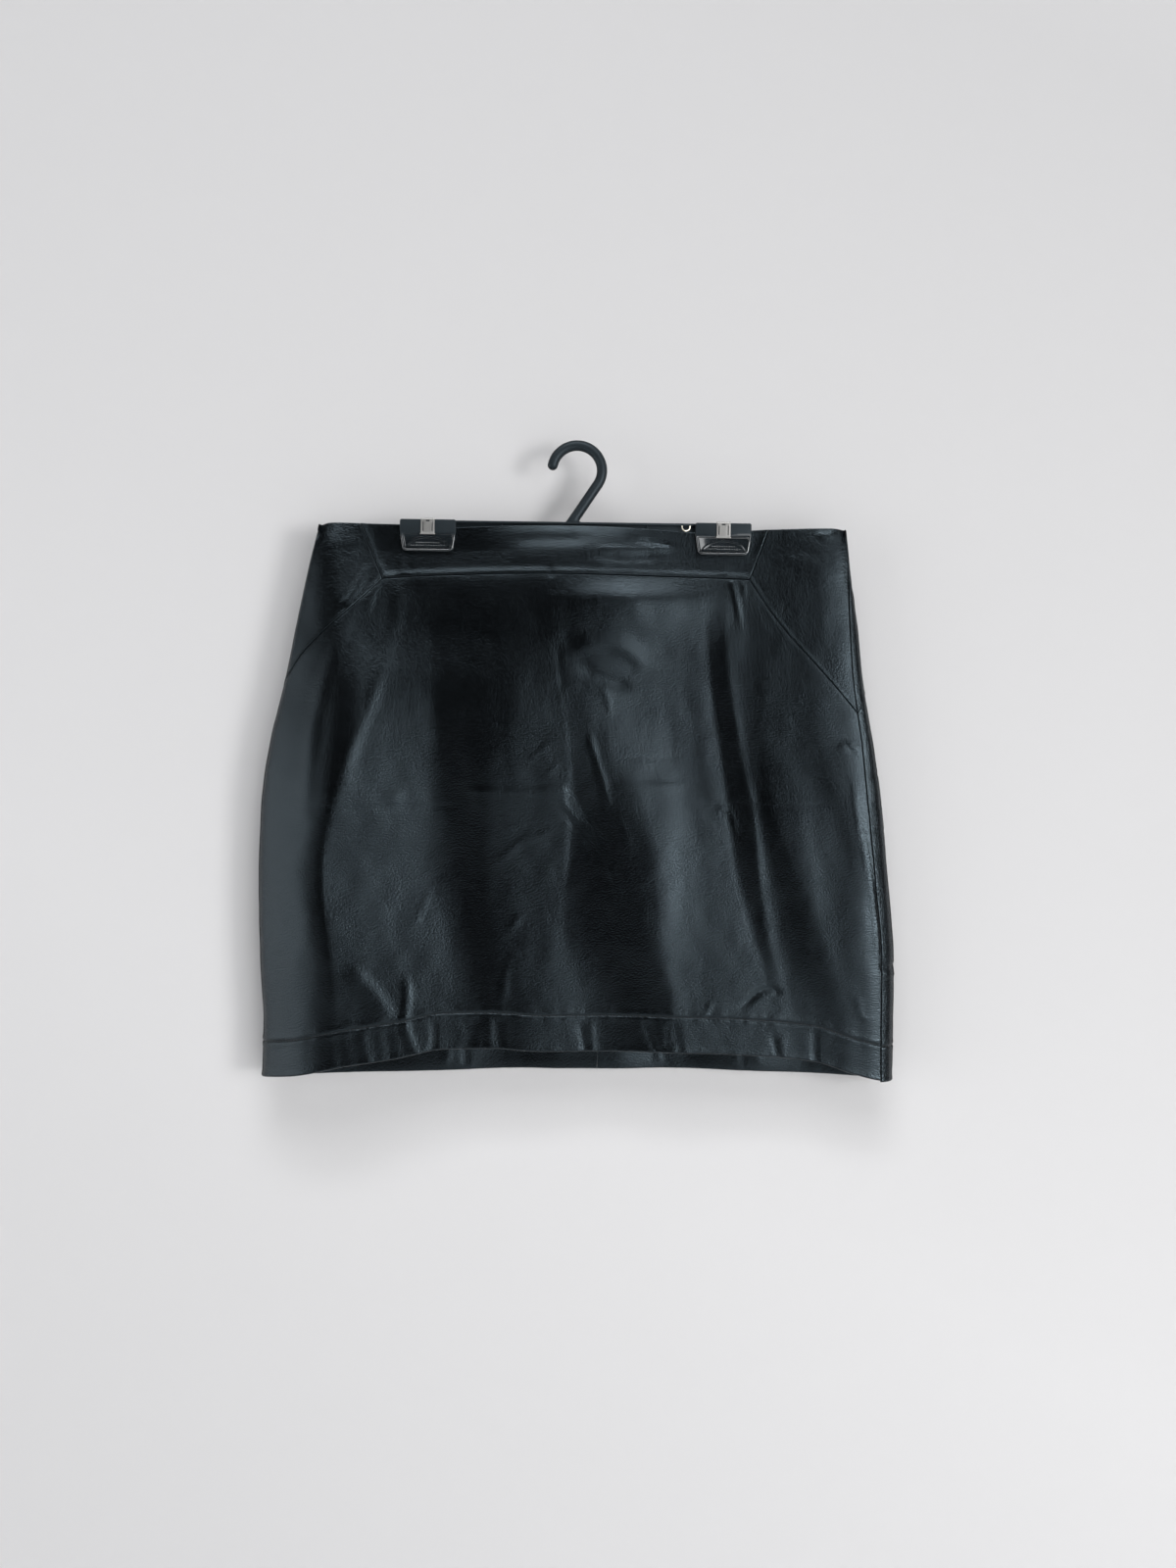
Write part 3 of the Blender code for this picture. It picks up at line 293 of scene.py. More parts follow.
def fold_height(folds, x, z):
    total = np.zeros_like(x)
    for (x0, z0, x1, z1, x2, z2, left_foot, left_brow, right_brow, right_foot, height, fade) in folds:
        line = (x0 * (z - z1) * (z - z2) / ((z0 - z1) * (z0 - z2))
                + x1 * (z - z0) * (z - z2) / ((z1 - z0) * (z1 - z2))
                + x2 * (z - z0) * (z - z1) / ((z2 - z0) * (z2 - z1)))
        width = 0.55 + 0.45 * np.clip((z0 - z) / (z0 - z2), 0.0, 1.0)
        offset = (x - line) / width
        across = np.where(offset < 0.0, 1.0 - soft_step(left_brow, left_foot, -offset),
                          1.0 - soft_step(right_brow, right_foot, offset))
        total += height * soft_step(0.0, 45.0, z0 - z) * (1.0 - soft_step(0.0, fade, z2 - z)) * across
    return total


FORM_X = np.arange(-262.0, 262.1, 0.5)
FORM_Z = np.arange(-512.0, -36.0, 2.0)


def soften(grid, spread, axis):
    """Weighted mean of neighbours along an axis, with the ends held."""
    reach = int(3 * spread)
    weights = np.exp(-0.5 * (np.arange(-reach, reach + 1) / spread) ** 2)
    edge = [(0, 0), (0, 0)]
    edge[axis] = (reach, reach)
    wide = np.pad(grid, edge, "edge")
    count = grid.shape[axis]
    return sum(w * np.take(wide, np.arange(count) + k, axis) for k, w in enumerate(weights)) / weights.sum()


def hanging_form():
    """Height of the front over its side plane, summed across from the leans of its lines."""
    levels, lean_levels = FOLD_LEVELS[::-1], LEAN_LEVELS[::-1]
    rows, arches = [], []
    for z in FORM_Z:
        left, right, _, turn = level_at(z)[:4]
        start, end = left + turn, right - turn
        knots, leans = [start], [-SIDE_LEAN]
        for line in FRONT_LINES:
            x = smooth_curve(levels, line[0][::-1], z)
            knots += [x - 0.6, x + 0.6]
            leans += [smooth_curve(lean_levels, lean[::-1], z) for lean in (line[1], line[-1])]
        knots, leans = np.maximum.accumulate(knots + [end]), leans + [SIDE_LEAN]
        slope = np.tan(np.radians(np.interp(FORM_X, knots, leans)))
        inside = (FORM_X > start) & (FORM_X < end)
        height = -np.cumsum(np.where(inside, slope, 0.0)) * (FORM_X[1] - FORM_X[0])
        across = np.clip((FORM_X - start) / (end - start), 0.0, 1.0)
        rows.append(height - height[-1] * across + 2 * turn * math.cos(math.radians(SIDE_LEAN)))
        arches.append(np.sin(np.pi * across))
    rows, arches = np.array(rows), np.array(arches)
    fullness = ((rows * arches).sum(1) / (arches ** 2).sum(1))[:, None]
    rows += (soften(fullness, 20.0, 0) - fullness) * arches * soft_step(130.0, 190.0, -FORM_Z)[:, None]
    left_ease = soft_step(70.0, 150.0, -FORM_Z) * (1.0 - soft_step(200.0, 310.0, -FORM_Z))
    rows -= 5.0 * left_ease[:, None] * (1.0 - soft_step(0.0, 105.0, np.abs(FORM_X + 138.0)))
    rows -= WAIST_LEAN * np.maximum(FORM_Z[:, None] + 85.0, 0.0) ** 2
    return soften(soften(rows, 3.0, 0), 2.0, 1)


FRONT_FORM = hanging_form()


def form_at(x, z):
    """Height of the hanging form at any point, between the nearest four of its grid."""
    i = (np.clip(z, FORM_Z[0], FORM_Z[-1] - 0.01) - FORM_Z[0]) / (FORM_Z[1] - FORM_Z[0])
    j = (np.clip(x, FORM_X[0], FORM_X[-1] - 0.01) - FORM_X[0]) / (FORM_X[1] - FORM_X[0])
    row, column = np.floor(i).astype(int), np.floor(j).astype(int)
    i, j = i - row, j - column
    return ((FRONT_FORM[row, column] * (1 - j) + FRONT_FORM[row, column + 1] * j) * (1 - i)
            + (FRONT_FORM[row + 1, column] * (1 - j) + FRONT_FORM[row + 1, column + 1] * j) * i)


def bare_face(quarter, z):
    """Outer face before its creases, by place round the skirt and height.

    The place counts quarters from the middle of the front, through the right side at 1, the
    middle of the back at 2 and the left side at 3, which is also -1. It also gives whether a
    point is in front, its distance across the flattened cloth, and the clips' hold there.
    """
    left, right, _, turn, back, side_y = level_at(z)
    centre, flat = (left + right) / 2, (right - left) / 2 - turn
    length = flat + turn * math.pi / 2
    place = (quarter + 1.0) % 4.0 - 1.0
    in_front = place <= 1.0
    run = np.where(in_front, place, 2.0 - place) * length
    facing = np.where(in_front, -1.0, 1.0)
    x = centre + np.clip(run, -flat, flat)
    share = np.clip(np.abs(x - centre) / flat, 0.0, 1.0)
    clips = clip_hold(x, z)
    hold = np.where(in_front, clips, 1.0 - (1.0 - clips) * (1.0 - bar_hold(x, z)))
    folds = soft_step(0.0, 26.0, flat - np.abs(x - centre)) * fold_height(BACK_FOLDS, x, z)
    form = np.where(in_front, form_at(x, z), turn + back * (1.0 - share ** 4) ** 1.5 + folds)
    stand_out = PRESSED_HALF + (1.0 - hold) * (form - PRESSED_HALF)
    past = np.clip(np.abs(run) - flat, 0.0, None)
    start = math.radians(SIDE_LEAN)
    angle = np.where(in_front, start + past / turn * (1.0 - start / (math.pi / 2)), past / turn)
    radius = np.where(in_front, 2 * turn, turn)
    y = side_y + facing * np.where(past > 0.0, radius * np.cos(angle), stand_out)
    x = x + np.sign(run) * np.where(past > 0.0, turn - radius * (1.0 - np.sin(angle)), 0.0)
    return np.stack((x, y, z), -1), in_front, centre + run, clips


def crease_height(row, x, z):
    """Height of one crease at each point, from its distance to the crease's smooth line."""
    height, low_side, high_side, sharp, fade_in, fade_out, path = row
    path = np.array(path, float)
    reach = max(low_side, high_side)
    near = ((x > path[:, 0].min() - reach) & (x < path[:, 0].max() + reach)
            & (z > path[:, 1].min() - reach) & (z < path[:, 1].max() + reach))
    result = np.zeros_like(x)
    if not near.any():
        return result
    knots = np.concatenate(((0.0,), np.cumsum(np.hypot(*np.diff(path, axis=0).T))))
    marks = np.linspace(0.0, knots[-1], 4 * len(path))
    line = np.stack([smooth_curve(knots, path[:, axis], marks) for axis in (0, 1)], -1)
    start, step = line[:-1], np.diff(line, axis=0)
    px, pz = x[near][:, None], z[near][:, None]
    length = np.hypot(step[:, 0], step[:, 1])
    t = np.clip(((px - start[:, 0]) * step[:, 0] + (pz - start[:, 1]) * step[:, 1]) / length ** 2, 0, 1)
    off_x, off_z = px - start[:, 0] - t * step[:, 0], pz - start[:, 1] - t * step[:, 1]
    away = np.hypot(off_x, off_z)
    nearest = away.argmin(1)
    pick = np.arange(len(nearest)), nearest
    side = -off_x[pick] * step[nearest, 1] + off_z[pick] * step[nearest, 0]
    along = (np.concatenate(((0.0,), np.cumsum(length)))[nearest] + t[pick] * length[nearest]) / length.sum()
    share = np.clip(away[pick] / np.where(side > 0.0, high_side, low_side), 0.0, 1.0)
    soft = 1.0 - share * share * (3.0 - 2.0 * share)
    shape = soft + ((1.0 - share) ** 2 - soft) * sharp
    ends = np.ones_like(along)
    if fade_in:
        ends *= soft_step(0.0, fade_in, along)
    if fade_out:
        ends *= 1.0 - soft_step(1.0 - fade_out, 1.0, along)
    result[near] = height * shape * ends
    return result


def relief(in_front, across, z, clips):
    """How far the creases and the cloth's own unevenness lift the face, in millimetres."""
    total = np.zeros_like(z)
    for creases, here in ((FRONT_CREASES, in_front), (BACK_CREASES, ~in_front)):
        if here.any():
            total[here] += sum(crease_height(row, across[here], z[here]) for row in creases)
    waver = np.array([
        noise.noise((a * 0.022, b * 0.016, front * 9.0)) * 0.5
        + noise.noise((a * 0.075, b * 0.055, 4.0 + front * 9.0)) * 0.22
        + noise.noise((a * 0.22, b * 0.16, 8.0 + front * 9.0)) * 0.07
        for a, b, front in zip(across.ravel(), z.ravel(), in_front.ravel())])
    total += waver.reshape(z.shape)
    return total * (1.0 - soft_step(0.7, 0.98, clips))


def seam_quarter(z):
    """Place of the right side seam. The left one lies two quarters before it."""
    left, right, inset, turn = level_at(z)[:4]
    half = (right - left) / 2
    return quarter_at(half - inset, half, turn)


def quarter_at(distance, half, turn):
    flat = half - turn
    run = np.abs(distance)
    past = np.clip((run - flat) / turn, 0.0, 1.0)
    start = math.radians(SIDE_LEAN)
    angle = (np.arcsin((1.0 + past) / 2) - start) / (1.0 - start / (math.pi / 2))
    run = np.where(run > flat, flat + turn * angle, run)
    return np.sign(distance) * run / (flat + turn * math.pi / 2)


def cut_place(x, z):
    """Place in the cut of a point of the front: 0 at the left seam, 1 at the right."""
    left, right, _, turn = level_at(z)[:4]
    return (quarter_at(x - (left + right) / 2, (right - left) / 2, turn) - seam_quarter(z)) / 2 + 1


def edge_height(edge, place):
    """Height of a waist or hem edge at places in the cut, found in a few passes."""
    edge = np.array(edge, float)
    z = np.full_like(place, edge[len(edge) // 2, 1])
    for _ in range(4):
        x = bare_face(seam_quarter(z) + 2 * (place - 1), z)[0][..., 0]
        z = smooth_curve(edge[:, 0], edge[:, 1], x)
    return z


def steps_between(length, spacing, first, last):
    """Distances along a run, close together at its edges, with the given first steps."""
    middle = max(int((length - first[-1] - last[-1]) / spacing), 2)
    inner = np.linspace(first[-1], length - last[-1], middle + 1)
    return np.concatenate((first[:-1], inner, length - np.array(last[:-1])[::-1]))


SEAM_STEPS = (0.0, 0.12, 0.35, 0.7, 1.1, 1.8, 3.2)
PIECE_GAP = 0.06
LEATHER_THICKNESS = 1.2
SEAM_ROLL = 0.9
FREE_ROLL = 0.6


def rolled(distance, radius):
    """How far a rounded edge falls away from the face, by the distance from the edge."""
    inside = np.clip(1.0 - distance / radius, 0.0, 1.0)
    return radius - np.sqrt(radius * radius - (inside * radius) ** 2)


def sew_piece(name, places, heights, edges, thickness, lift, inner_slot):
    """One cut piece as a closed thin shell.

    places and heights are grids of columns by rows. edges tells for the left, right, lower
    and upper edge whether it is a seam, a free edge or a hem. thickness is a number for each
    row, lift gives an extra height for each point, and inner_slot is a material number for
    each row of the inner face: 0 for leather, 1 for its backing.
    """
    quarter = seam_quarter(heights) + 2 * (places - 1)
    face, in_front, across, clips = bare_face(quarter, heights)
    beside, above = 0.0015, 0.4
    run = bare_face(quarter + beside, heights)[0] - bare_face(quarter - beside, heights)[0]
    rise = bare_face(quarter, heights + above)[0] - bare_face(quarter, heights - above)[0]
    normal = np.cross(run, rise)
    normal /= np.linalg.norm(normal, axis=-1, keepdims=True)
    step_across = np.linalg.norm(np.diff(face, axis=0), axis=-1)
    from_left = np.concatenate((np.zeros((1, face.shape[1])), np.cumsum(step_across, 0)))
    step_up = np.linalg.norm(np.diff(face, axis=1), axis=-1)
    from_foot = np.concatenate((np.zeros((face.shape[0], 1)), np.cumsum(step_up, 1)), 1)
    distances = {
        "left": from_left, "right": from_left[-1:] - from_left,
        "lower": from_foot, "upper": from_foot[:, -1:] - from_foot}
    height = relief(in_front, across, heights, clips)
    height = height + lift(distances, across)
    inner_height = height - thickness[None, :]
    for edge, kind in edges.items():
        radius = SEAM_ROLL if kind == "seam" else thickness[0] / 2 if kind == "hem" else FREE_ROLL
        fall = rolled(distances[edge], radius)
        height = height - fall
        if kind != "seam":
            inner_height = inner_height + fall
    outer = (face + normal * height[..., None]) * MM
    inner = (face + normal * inner_height[..., None]) * MM
    columns, rows = heights.shape
    points = np.concatenate((outer.reshape(-1, 3), inner.reshape(-1, 3)))
    number = np.arange(columns * rows).reshape(columns, rows)
    under = number + columns * rows
    a, b, c, d = number[:-1, :-1], number[1:, :-1], number[1:, 1:], number[:-1, 1:]
    outer_faces = np.stack((a, b, c, d), -1).reshape(-1, 4)
    e, f, g, h = under[:-1, :-1], under[:-1, 1:], under[1:, 1:], under[1:, :-1]
    inner_faces = np.stack((e, f, g, h), -1).reshape(-1, 4)
    rim = [
        np.stack((number[:-1, 0], under[:-1, 0], under[1:, 0], number[1:, 0]), -1),
        np.stack((number[:-1, -1], number[1:, -1], under[1:, -1], under[:-1, -1]), -1),
        np.stack((number[0, :-1], number[0, 1:], under[0, 1:], under[0, :-1]), -1),
        np.stack((number[-1, :-1], under[-1, :-1], under[-1, 1:], number[-1, 1:]), -1),
    ]
    mesh = bpy.data.meshes.new(name)
    mesh.from_pydata(points.tolist(), [], np.concatenate((outer_faces, inner_faces, *rim)).tolist())
    for material in (leather, backing):
        mesh.materials.append(material)
    slots = np.zeros(len(mesh.polygons), np.int32)
    slots[len(outer_faces):2 * len(outer_faces)] = np.tile(inner_slot[:-1], columns - 1)
    mesh.polygons.foreach_set("material_index", slots)
    cut = np.stack((across.ravel(), heights.ravel()), -1) * MM
    cut = np.concatenate((cut, cut))
    corners = np.empty(len(mesh.loops), np.int32)
    mesh.loops.foreach_get("vertex_index", corners)
    mesh.uv_layers.new(name="cut").data.foreach_set("uv", cut[corners].ravel())
    mesh.shade_smooth()
    mesh.set_sharp_from_angle(angle=math.radians(75))
    piece = bpy.data.objects.new(name + "_leather", mesh)
    bpy.context.collection.objects.link(piece)
    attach(piece, "root")
    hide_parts(name)
    return piece


def add_node(tree, kind, x, y, **settings):
    node = tree.nodes.new(kind)
    node.location = x, y
    for key, value in settings.items():
        if hasattr(node, key):
            setattr(node, key, value)
        else:
            node.inputs[key.replace("_", " ")].default_value = value
    return node


def new_material(name):
    """A material with its node tree and its Principled shader."""
    material = bpy.data.materials.new(name)
    material.use_nodes = True
    return material, material.node_tree, material.node_tree.nodes["Principled BSDF"]


def texture(tree, kind, vector, x, y, **settings):
    """A texture laid out over a vector."""
    node = add_node(tree, kind, x, y, **settings)
    tree.links.new(vector, node.inputs["Vector"])
    return node


def tint(tree, shader, value, low, high):
    """Base colour that goes from low to high with a value."""
    ramp = add_node(tree, "ShaderNodeValToRGB", -450, 200)
    for element, colour in zip(ramp.color_ramp.elements, (low, high)):
        element.color = (*colour, 1.0)
    tree.links.new(value, ramp.inputs["Fac"])
    tree.links.new(ramp.outputs["Color"], shader.inputs["Base Color"])
    return ramp


def emboss(tree, shader, height, strength, distance):
    """Fine relief of the surface from a height."""
    bump = add_node(tree, "ShaderNodeBump", -250, -250, Strength=strength, Distance=distance)
    tree.links.new(height, bump.inputs["Height"])
    tree.links.new(bump.outputs["Normal"], shader.inputs["Normal"])


def math_node(tree, operation, first, second, x, y):
    node = tree.nodes.new("ShaderNodeMath")
    node.operation = operation
    node.location = x, y
    for socket, value in zip(node.inputs, (first, second)):
        if hasattr(value, "links"):
            tree.links.new(value, socket)
        elif value is not None:
            socket.default_value = value
    return node.outputs[0]


# Pebbled grain of faux leather: small rounded cells, finer pores, and slow cloudy change.
grain = bpy.data.node_groups.new("leather_grain", "ShaderNodeTree")
for socket, value in (("Cell Scale", 900.0), ("Cloud Scale", 14.0)):
    made = grain.interface.new_socket(socket, in_out="INPUT", socket_type="NodeSocketFloat")
    made.default_value = value
for socket in ("Height", "Pores", "Clouds"):
    grain.interface.new_socket(socket, in_out="OUTPUT", socket_type="NodeSocketFloat")
group_in = add_node(grain, "NodeGroupInput", -900, 0)
group_out = add_node(grain, "NodeGroupOutput", 500, 0)
place = add_node(grain, "ShaderNodeTexCoord", -900, 300)
bend = texture(grain, "ShaderNodeTexNoise", place.outputs["Object"], -700, 300, Scale=160.0, Detail=2.0)
warp = add_node(grain, "ShaderNodeVectorMath", -500, 300, operation="MULTIPLY_ADD")
grain.links.new(bend.outputs["Color"], warp.inputs[0])
warp.inputs[1].default_value = (0.0008, 0.0008, 0.0008)
grain.links.new(place.outputs["Object"], warp.inputs[2])
cells = texture(
    grain, "ShaderNodeTexVoronoi", warp.outputs[0], -250, 300, feature="SMOOTH_F1", Smoothness=0.5)
grain.links.new(group_in.outputs["Cell Scale"], cells.inputs["Scale"])
pores = texture(
    grain, "ShaderNodeTexNoise", place.outputs["Object"], -250, 0,
    Scale=2600.0, Detail=3.0, Roughness=0.6)
clouds = texture(
    grain, "ShaderNodeTexNoise", place.outputs["Object"], -250, -250, Detail=4.0, Roughness=0.55)
grain.links.new(group_in.outputs["Cloud Scale"], clouds.inputs["Scale"])
domes = math_node(grain, "MULTIPLY", cells.outputs["Distance"], -1.0, 0, 300)
fine = math_node(grain, "MULTIPLY", pores.outputs["Fac"], 0.45, 0, 0)
grain.links.new(math_node(grain, "ADD", domes, fine, 200, 200), group_out.inputs["Height"])
grain.links.new(pores.outputs["Fac"], group_out.inputs["Pores"])
grain.links.new(clouds.outputs["Fac"], group_out.inputs["Clouds"])

# Coated face: near-black, slightly cool, with a soft sheen that the grain breaks up.
leather, tree, shader = new_material("black_faux_leather")
surface = add_node(tree, "ShaderNodeGroup", -700, 0)
surface.node_tree = grain
surface.inputs["Cell Scale"].default_value = 850.0
surface.inputs["Cloud Scale"].default_value = 16.0
tone = tint(
    tree, shader, surface.outputs["Clouds"], (0.0009, 0.0010, 0.0012), (0.0018, 0.0020, 0.0023))
tone.color_ramp.elements[0].position = 0.30
tone.color_ramp.elements[1].position = 0.75
gloss = math_node(tree, "MULTIPLY_ADD", surface.outputs["Clouds"], 0.12, -400, -50)
gloss.node.inputs[2].default_value = 0.17
tree.links.new(gloss, shader.inputs["Roughness"])
emboss(tree, shader, surface.outputs["Height"], 1.0, 0.00018)
shader.inputs["Specular Tint"].default_value = (0.66, 0.86, 1.0, 1.0)

# Knitted backing glued to the coating, seen only on the inside.
backing, tree, shader = new_material("knitted_backing")
cut_map = add_node(tree, "ShaderNodeUVMap", -1100, 0, uv_map="cut")
loops_across = texture(
    tree, "ShaderNodeTexWave", cut_map.outputs["UV"], -800, 150,
    bands_direction="X", Scale=420.0, Distortion=1.5)
loops_up = texture(
    tree, "ShaderNodeTexWave", cut_map.outputs["UV"], -800, -150,
    bands_direction="Y", Scale=300.0, Distortion=1.0)
knit = math_node(tree, "MULTIPLY", loops_across.outputs["Fac"], loops_up.outputs["Fac"], -550, 0)
tint(tree, shader, knit, (0.010, 0.010, 0.011), (0.035, 0.035, 0.038))
emboss(tree, shader, knit, 0.5, 0.0003)
shader.inputs["Roughness"].default_value = 0.9
shader.inputs["Specular IOR Level"].default_value = 0.2

FRONT_WAIST = (
    (-210.0, -59.0), (-202.0, -58.0), (-194.0, -56.2), (-160.0, -57.0), (-116.0, -58.2),
    (-93.0, -59.9), (-70.0, -59.0), (-40.0, -58.6), (12.0, -58.9), (42.0, -60.4),
    (72.0, -62.4), (92.0, -64.0), (116.0, -63.6), (152.0, -61.8), (200.0, -61.0),
    (212.0, -62.5))
YOKE_CORNER_LEFT = (-152.5, -100.5)
YOKE_CORNER_RIGHT = (135.8, -101.3)
YOKE_SEAM = (
    YOKE_CORNER_LEFT, (-122.0, -98.4), (-66.0, -97.2), (10.0, -98.0), (90.0, -99.6), YOKE_CORNER_RIGHT)
YOKE_TOP_LEFT_X, YOKE_TOP_RIGHT_X = -170.3, 151.1


def seam_line(points):
    """A seam's points as places in the cut and heights."""
    return np.array([(cut_place(np.float64(x), np.float64(z)), z) for x, z in points])


def lerp_columns(first, last, length, spacing, start=SEAM_STEPS, end=SEAM_STEPS):
    """Places in the cut from first to last, close together near the piece's ends."""
    return first + (last - first) * steps_between(length, spacing, start, end) / length


def fill_rows(low, high, spacing, first, last):
    """Heights of every column from its lower to its upper edge."""
    shortest = (high - low).min()
    tallest = (high - low).max()
    count = max(int((tallest - first[-1] - last[-1]) / spacing), 2)
    grid = []
    for foot, top in zip(low, high):
        inner = np.linspace(foot + first[-1], top - last[-1], count + 1)
        grid.append(np.concatenate((foot + np.array(first[:-1]), inner, top - np.array(last[:-1])[::-1])))
    assert shortest > first[-1] + last[-1]
    return np.array(grid)


def shares_of(heights):
    return (heights - heights[:, :1]) / (heights[:, -1:] - heights[:, :1])


FRONT_WIDTH = 500.0
gap_place = PIECE_GAP / FRONT_WIDTH
middle_seam = seam_line(YOKE_SEAM)
corner_left, corner_right = middle_seam[0, 0], middle_seam[-1, 0]
top_places = [
    cut_place(np.float64(x), smooth_curve(*np.array(FRONT_WAIST).T, np.float64(x)))
    for x in (YOKE_TOP_LEFT_X, YOKE_TOP_RIGHT_X)]


def middle_height(place):
    return smooth_curve(middle_seam[:, 0], middle_seam[:, 1], place)


YOKE_FOOT, YOKE_TOP, YOKE_SPACING = 289.0, 322.0, 2.0
yoke_low = lerp_columns(corner_left + gap_place, corner_right - gap_place, YOKE_FOOT, YOKE_SPACING)
yoke_high = lerp_columns(
    top_places[0] + gap_place, top_places[1] - gap_place, YOKE_TOP, YOKE_TOP / YOKE_FOOT * YOKE_SPACING)
yoke_high = np.interp(np.linspace(0, 1, len(yoke_low)), np.linspace(0, 1, len(yoke_high)), yoke_high)
low_z = middle_height(yoke_low) + PIECE_GAP
high_z = edge_height(FRONT_WAIST, yoke_high)
WAIST_STEPS = (0.0, 0.1, 0.25, 0.45, 0.7, 1.6, 3.0)
yoke_z = fill_rows(low_z, high_z, 1.8, SEAM_STEPS, WAIST_STEPS)
yoke_places = yoke_low[:, None] + (yoke_high - yoke_low)[:, None] * shares_of(yoke_z)


def yoke_lift(distances, across):
    """The seam allowance under the yoke's edges lifts them, most along the lower one."""
    lower = 0.75 * (1.0 - soft_step(1.5, 6.0, distances["lower"]))
    ends = 0.5 * (1.0 - soft_step(1.5, 5.0, np.minimum(distances["left"], distances["right"])))
    return np.maximum(lower, ends)


def sew_yoke(name, places, heights, lift):
    """A piece of one layer, sewn on three sides, with a free edge at the waist."""
    edges = {"left": "seam", "right": "seam", "lower": "seam", "upper": "free"}
    rows = heights.shape[1]
    return sew_piece(
        name, places, heights, edges, np.full(rows, LEATHER_THICKNESS), lift, np.ones(rows, np.int32))


front_yoke = sew_yoke("front_yoke", yoke_places, yoke_z, yoke_lift)

# ---------------------------------------------------------------- side yokes
# The two pieces between the slanted seams and the side seams, cut from the same leather.
# The left one turns round the left side and meets its seam behind the edge.

SIDE_JOIN_Z = -206.5
LEFT_DIAGONAL = ((-229.4, -180.6), (-214.9, -160.1), (-175.8, -123.5), YOKE_CORNER_LEFT)
RIGHT_DIAGONAL = (YOKE_CORNER_RIGHT, (162.0, -139.5), (185.4, -166.2), (204.0, -187.4))
left_seam = np.concatenate((((0.0, SIDE_JOIN_Z),), seam_line(LEFT_DIAGONAL)))
right_seam = np.concatenate((seam_line(RIGHT_DIAGONAL), ((1.0, SIDE_JOIN_Z),)))


def left_height(place):
    return smooth_curve(left_seam[:, 0], left_seam[:, 1], place)


def right_height(place):
    return smooth_curve(right_seam[:, 0], right_seam[:, 1], place)


def side_lift(distances, across):
    """A slight welt along the slanted lower seam."""
    return 0.25 * (1.0 - soft_step(1.2, 4.5, distances["lower"]))


for name, seam_height, first, last, top_first, top_last, width, flat, area in (
        ("side_yoke_left", left_height, gap_place, corner_left - gap_place,
         gap_place, top_places[0] - gap_place, 94.0, (0.082, 0.150), 0.0058),
        ("side_yoke_right", right_height, corner_right + gap_place, 1.0 - gap_place,
         top_places[1] + gap_place, 1.0 - gap_place, 88.0, (0.085, 0.146), 0.0071)):
    low = lerp_columns(first, last, width, 1.8)
    high = top_first + (top_last - top_first) * (low - first) / (last - first)
    waist_z = edge_height(FRONT_WAIST, high)
    side_z = fill_rows(seam_height(low) + PIECE_GAP, waist_z, 2.0, SEAM_STEPS, WAIST_STEPS)
    side_places = low[:, None] + (high - low)[:, None] * shares_of(side_z)
    side = sew_yoke(name, side_places, side_z, side_lift)

# ---------------------------------------------------------------- front panel
# The large piece below the yokes. Its lower edge is turned up 28 mm and sewn through, so
# the hem is two layers thick and puckers along its line of stitches.

FRONT_HEM = (
    (-250.0, -492.8), (-222.0, -489.0), (-181.0, -480.4), (-142.0, -475.3), (-104.0, -468.6),
    (-66.0, -468.4), (-28.0, -471.0), (40.0, -471.6), (100.0, -472.8), (156.0, -476.0),
    (188.0, -480.0), (216.0, -489.0), (238.0, -494.4), (250.0, -496.0))
HEM_DEPTH = 28.0
HEM_THICKNESS = 2.4
HEM_STEPS = (
    0.0, 0.15, 0.45, 0.9, 1.4, 2.4, 5.0, 8.0, 11.0, 14.0, 17.0, 20.0, 22.5, 24.5, 26.0, 27.0,
    27.6, 28.0, 28.4, 29.0, 30.0, 31.5, 33.5, 36.0)


def hem_lift(distances, across):
    """The line of stitches draws the hem in, and the cloth puckers a little on both sides."""
    from_line = distances["lower"] - HEM_DEPTH
    groove = -0.55 * np.exp(-(from_line / 0.7) ** 2)
    shoulder = 0.30 * np.exp(-((from_line - 2.4) / 1.6) ** 2)
    shoulder += 0.22 * np.exp(-((from_line + 2.4) / 1.8) ** 2)
    pucker = np.sin(across / 1.9 + 1.3 * np.sin(across / 11.0)) + 0.7 * np.sin(across / 3.1 + 2.0)
    near_edges = np.exp(-(from_line / 5.0) ** 2) + 0.5 * np.exp(-(distances["lower"] / 5.0) ** 2)
    pucker = 0.11 * pucker * near_edges
    edge_roll = 0.35 * (1.0 - soft_step(0.8, 5.0, distances["lower"]))
    top_welt = -0.15 * (1.0 - soft_step(1.0, 4.0, distances["upper"]))
    return groove + shoulder + pucker + edge_roll + top_welt


def sew_panel(name, places, heights):
    """A piece sewn on three sides, of two layers up to the top of its hem and then of one."""
    edges = {"left": "seam", "right": "seam", "lower": "hem", "upper": "seam"}
    rows = heights.shape[1]
    in_hem = np.append(np.array(HEM_STEPS) <= HEM_DEPTH, np.zeros(rows - len(HEM_STEPS), bool))
    return sew_piece(
        name, np.repeat(places[:, None], rows, 1), heights, edges,
        np.where(in_hem, HEM_THICKNESS, LEATHER_THICKNESS), hem_lift, np.where(in_hem, 0, 1))


def crowded(first, last, length, spacing, crowded_runs):
    """Column places with closer columns where the sharp creases are."""
    marks = steps_between(length, spacing, SEAM_STEPS, SEAM_STEPS)
    extra = []
    for low, high, close in crowded_runs:
        extra.append(np.arange(low, high, close))
        marks = marks[(marks < low - close * 0.6) | (marks > high + close * 0.4)]
    marks = np.sort(np.concatenate((marks, *extra)))
    return first + (last - first) * marks / length


THREAD_PITCH = 2.7
THREAD_RADIUS = 0.24

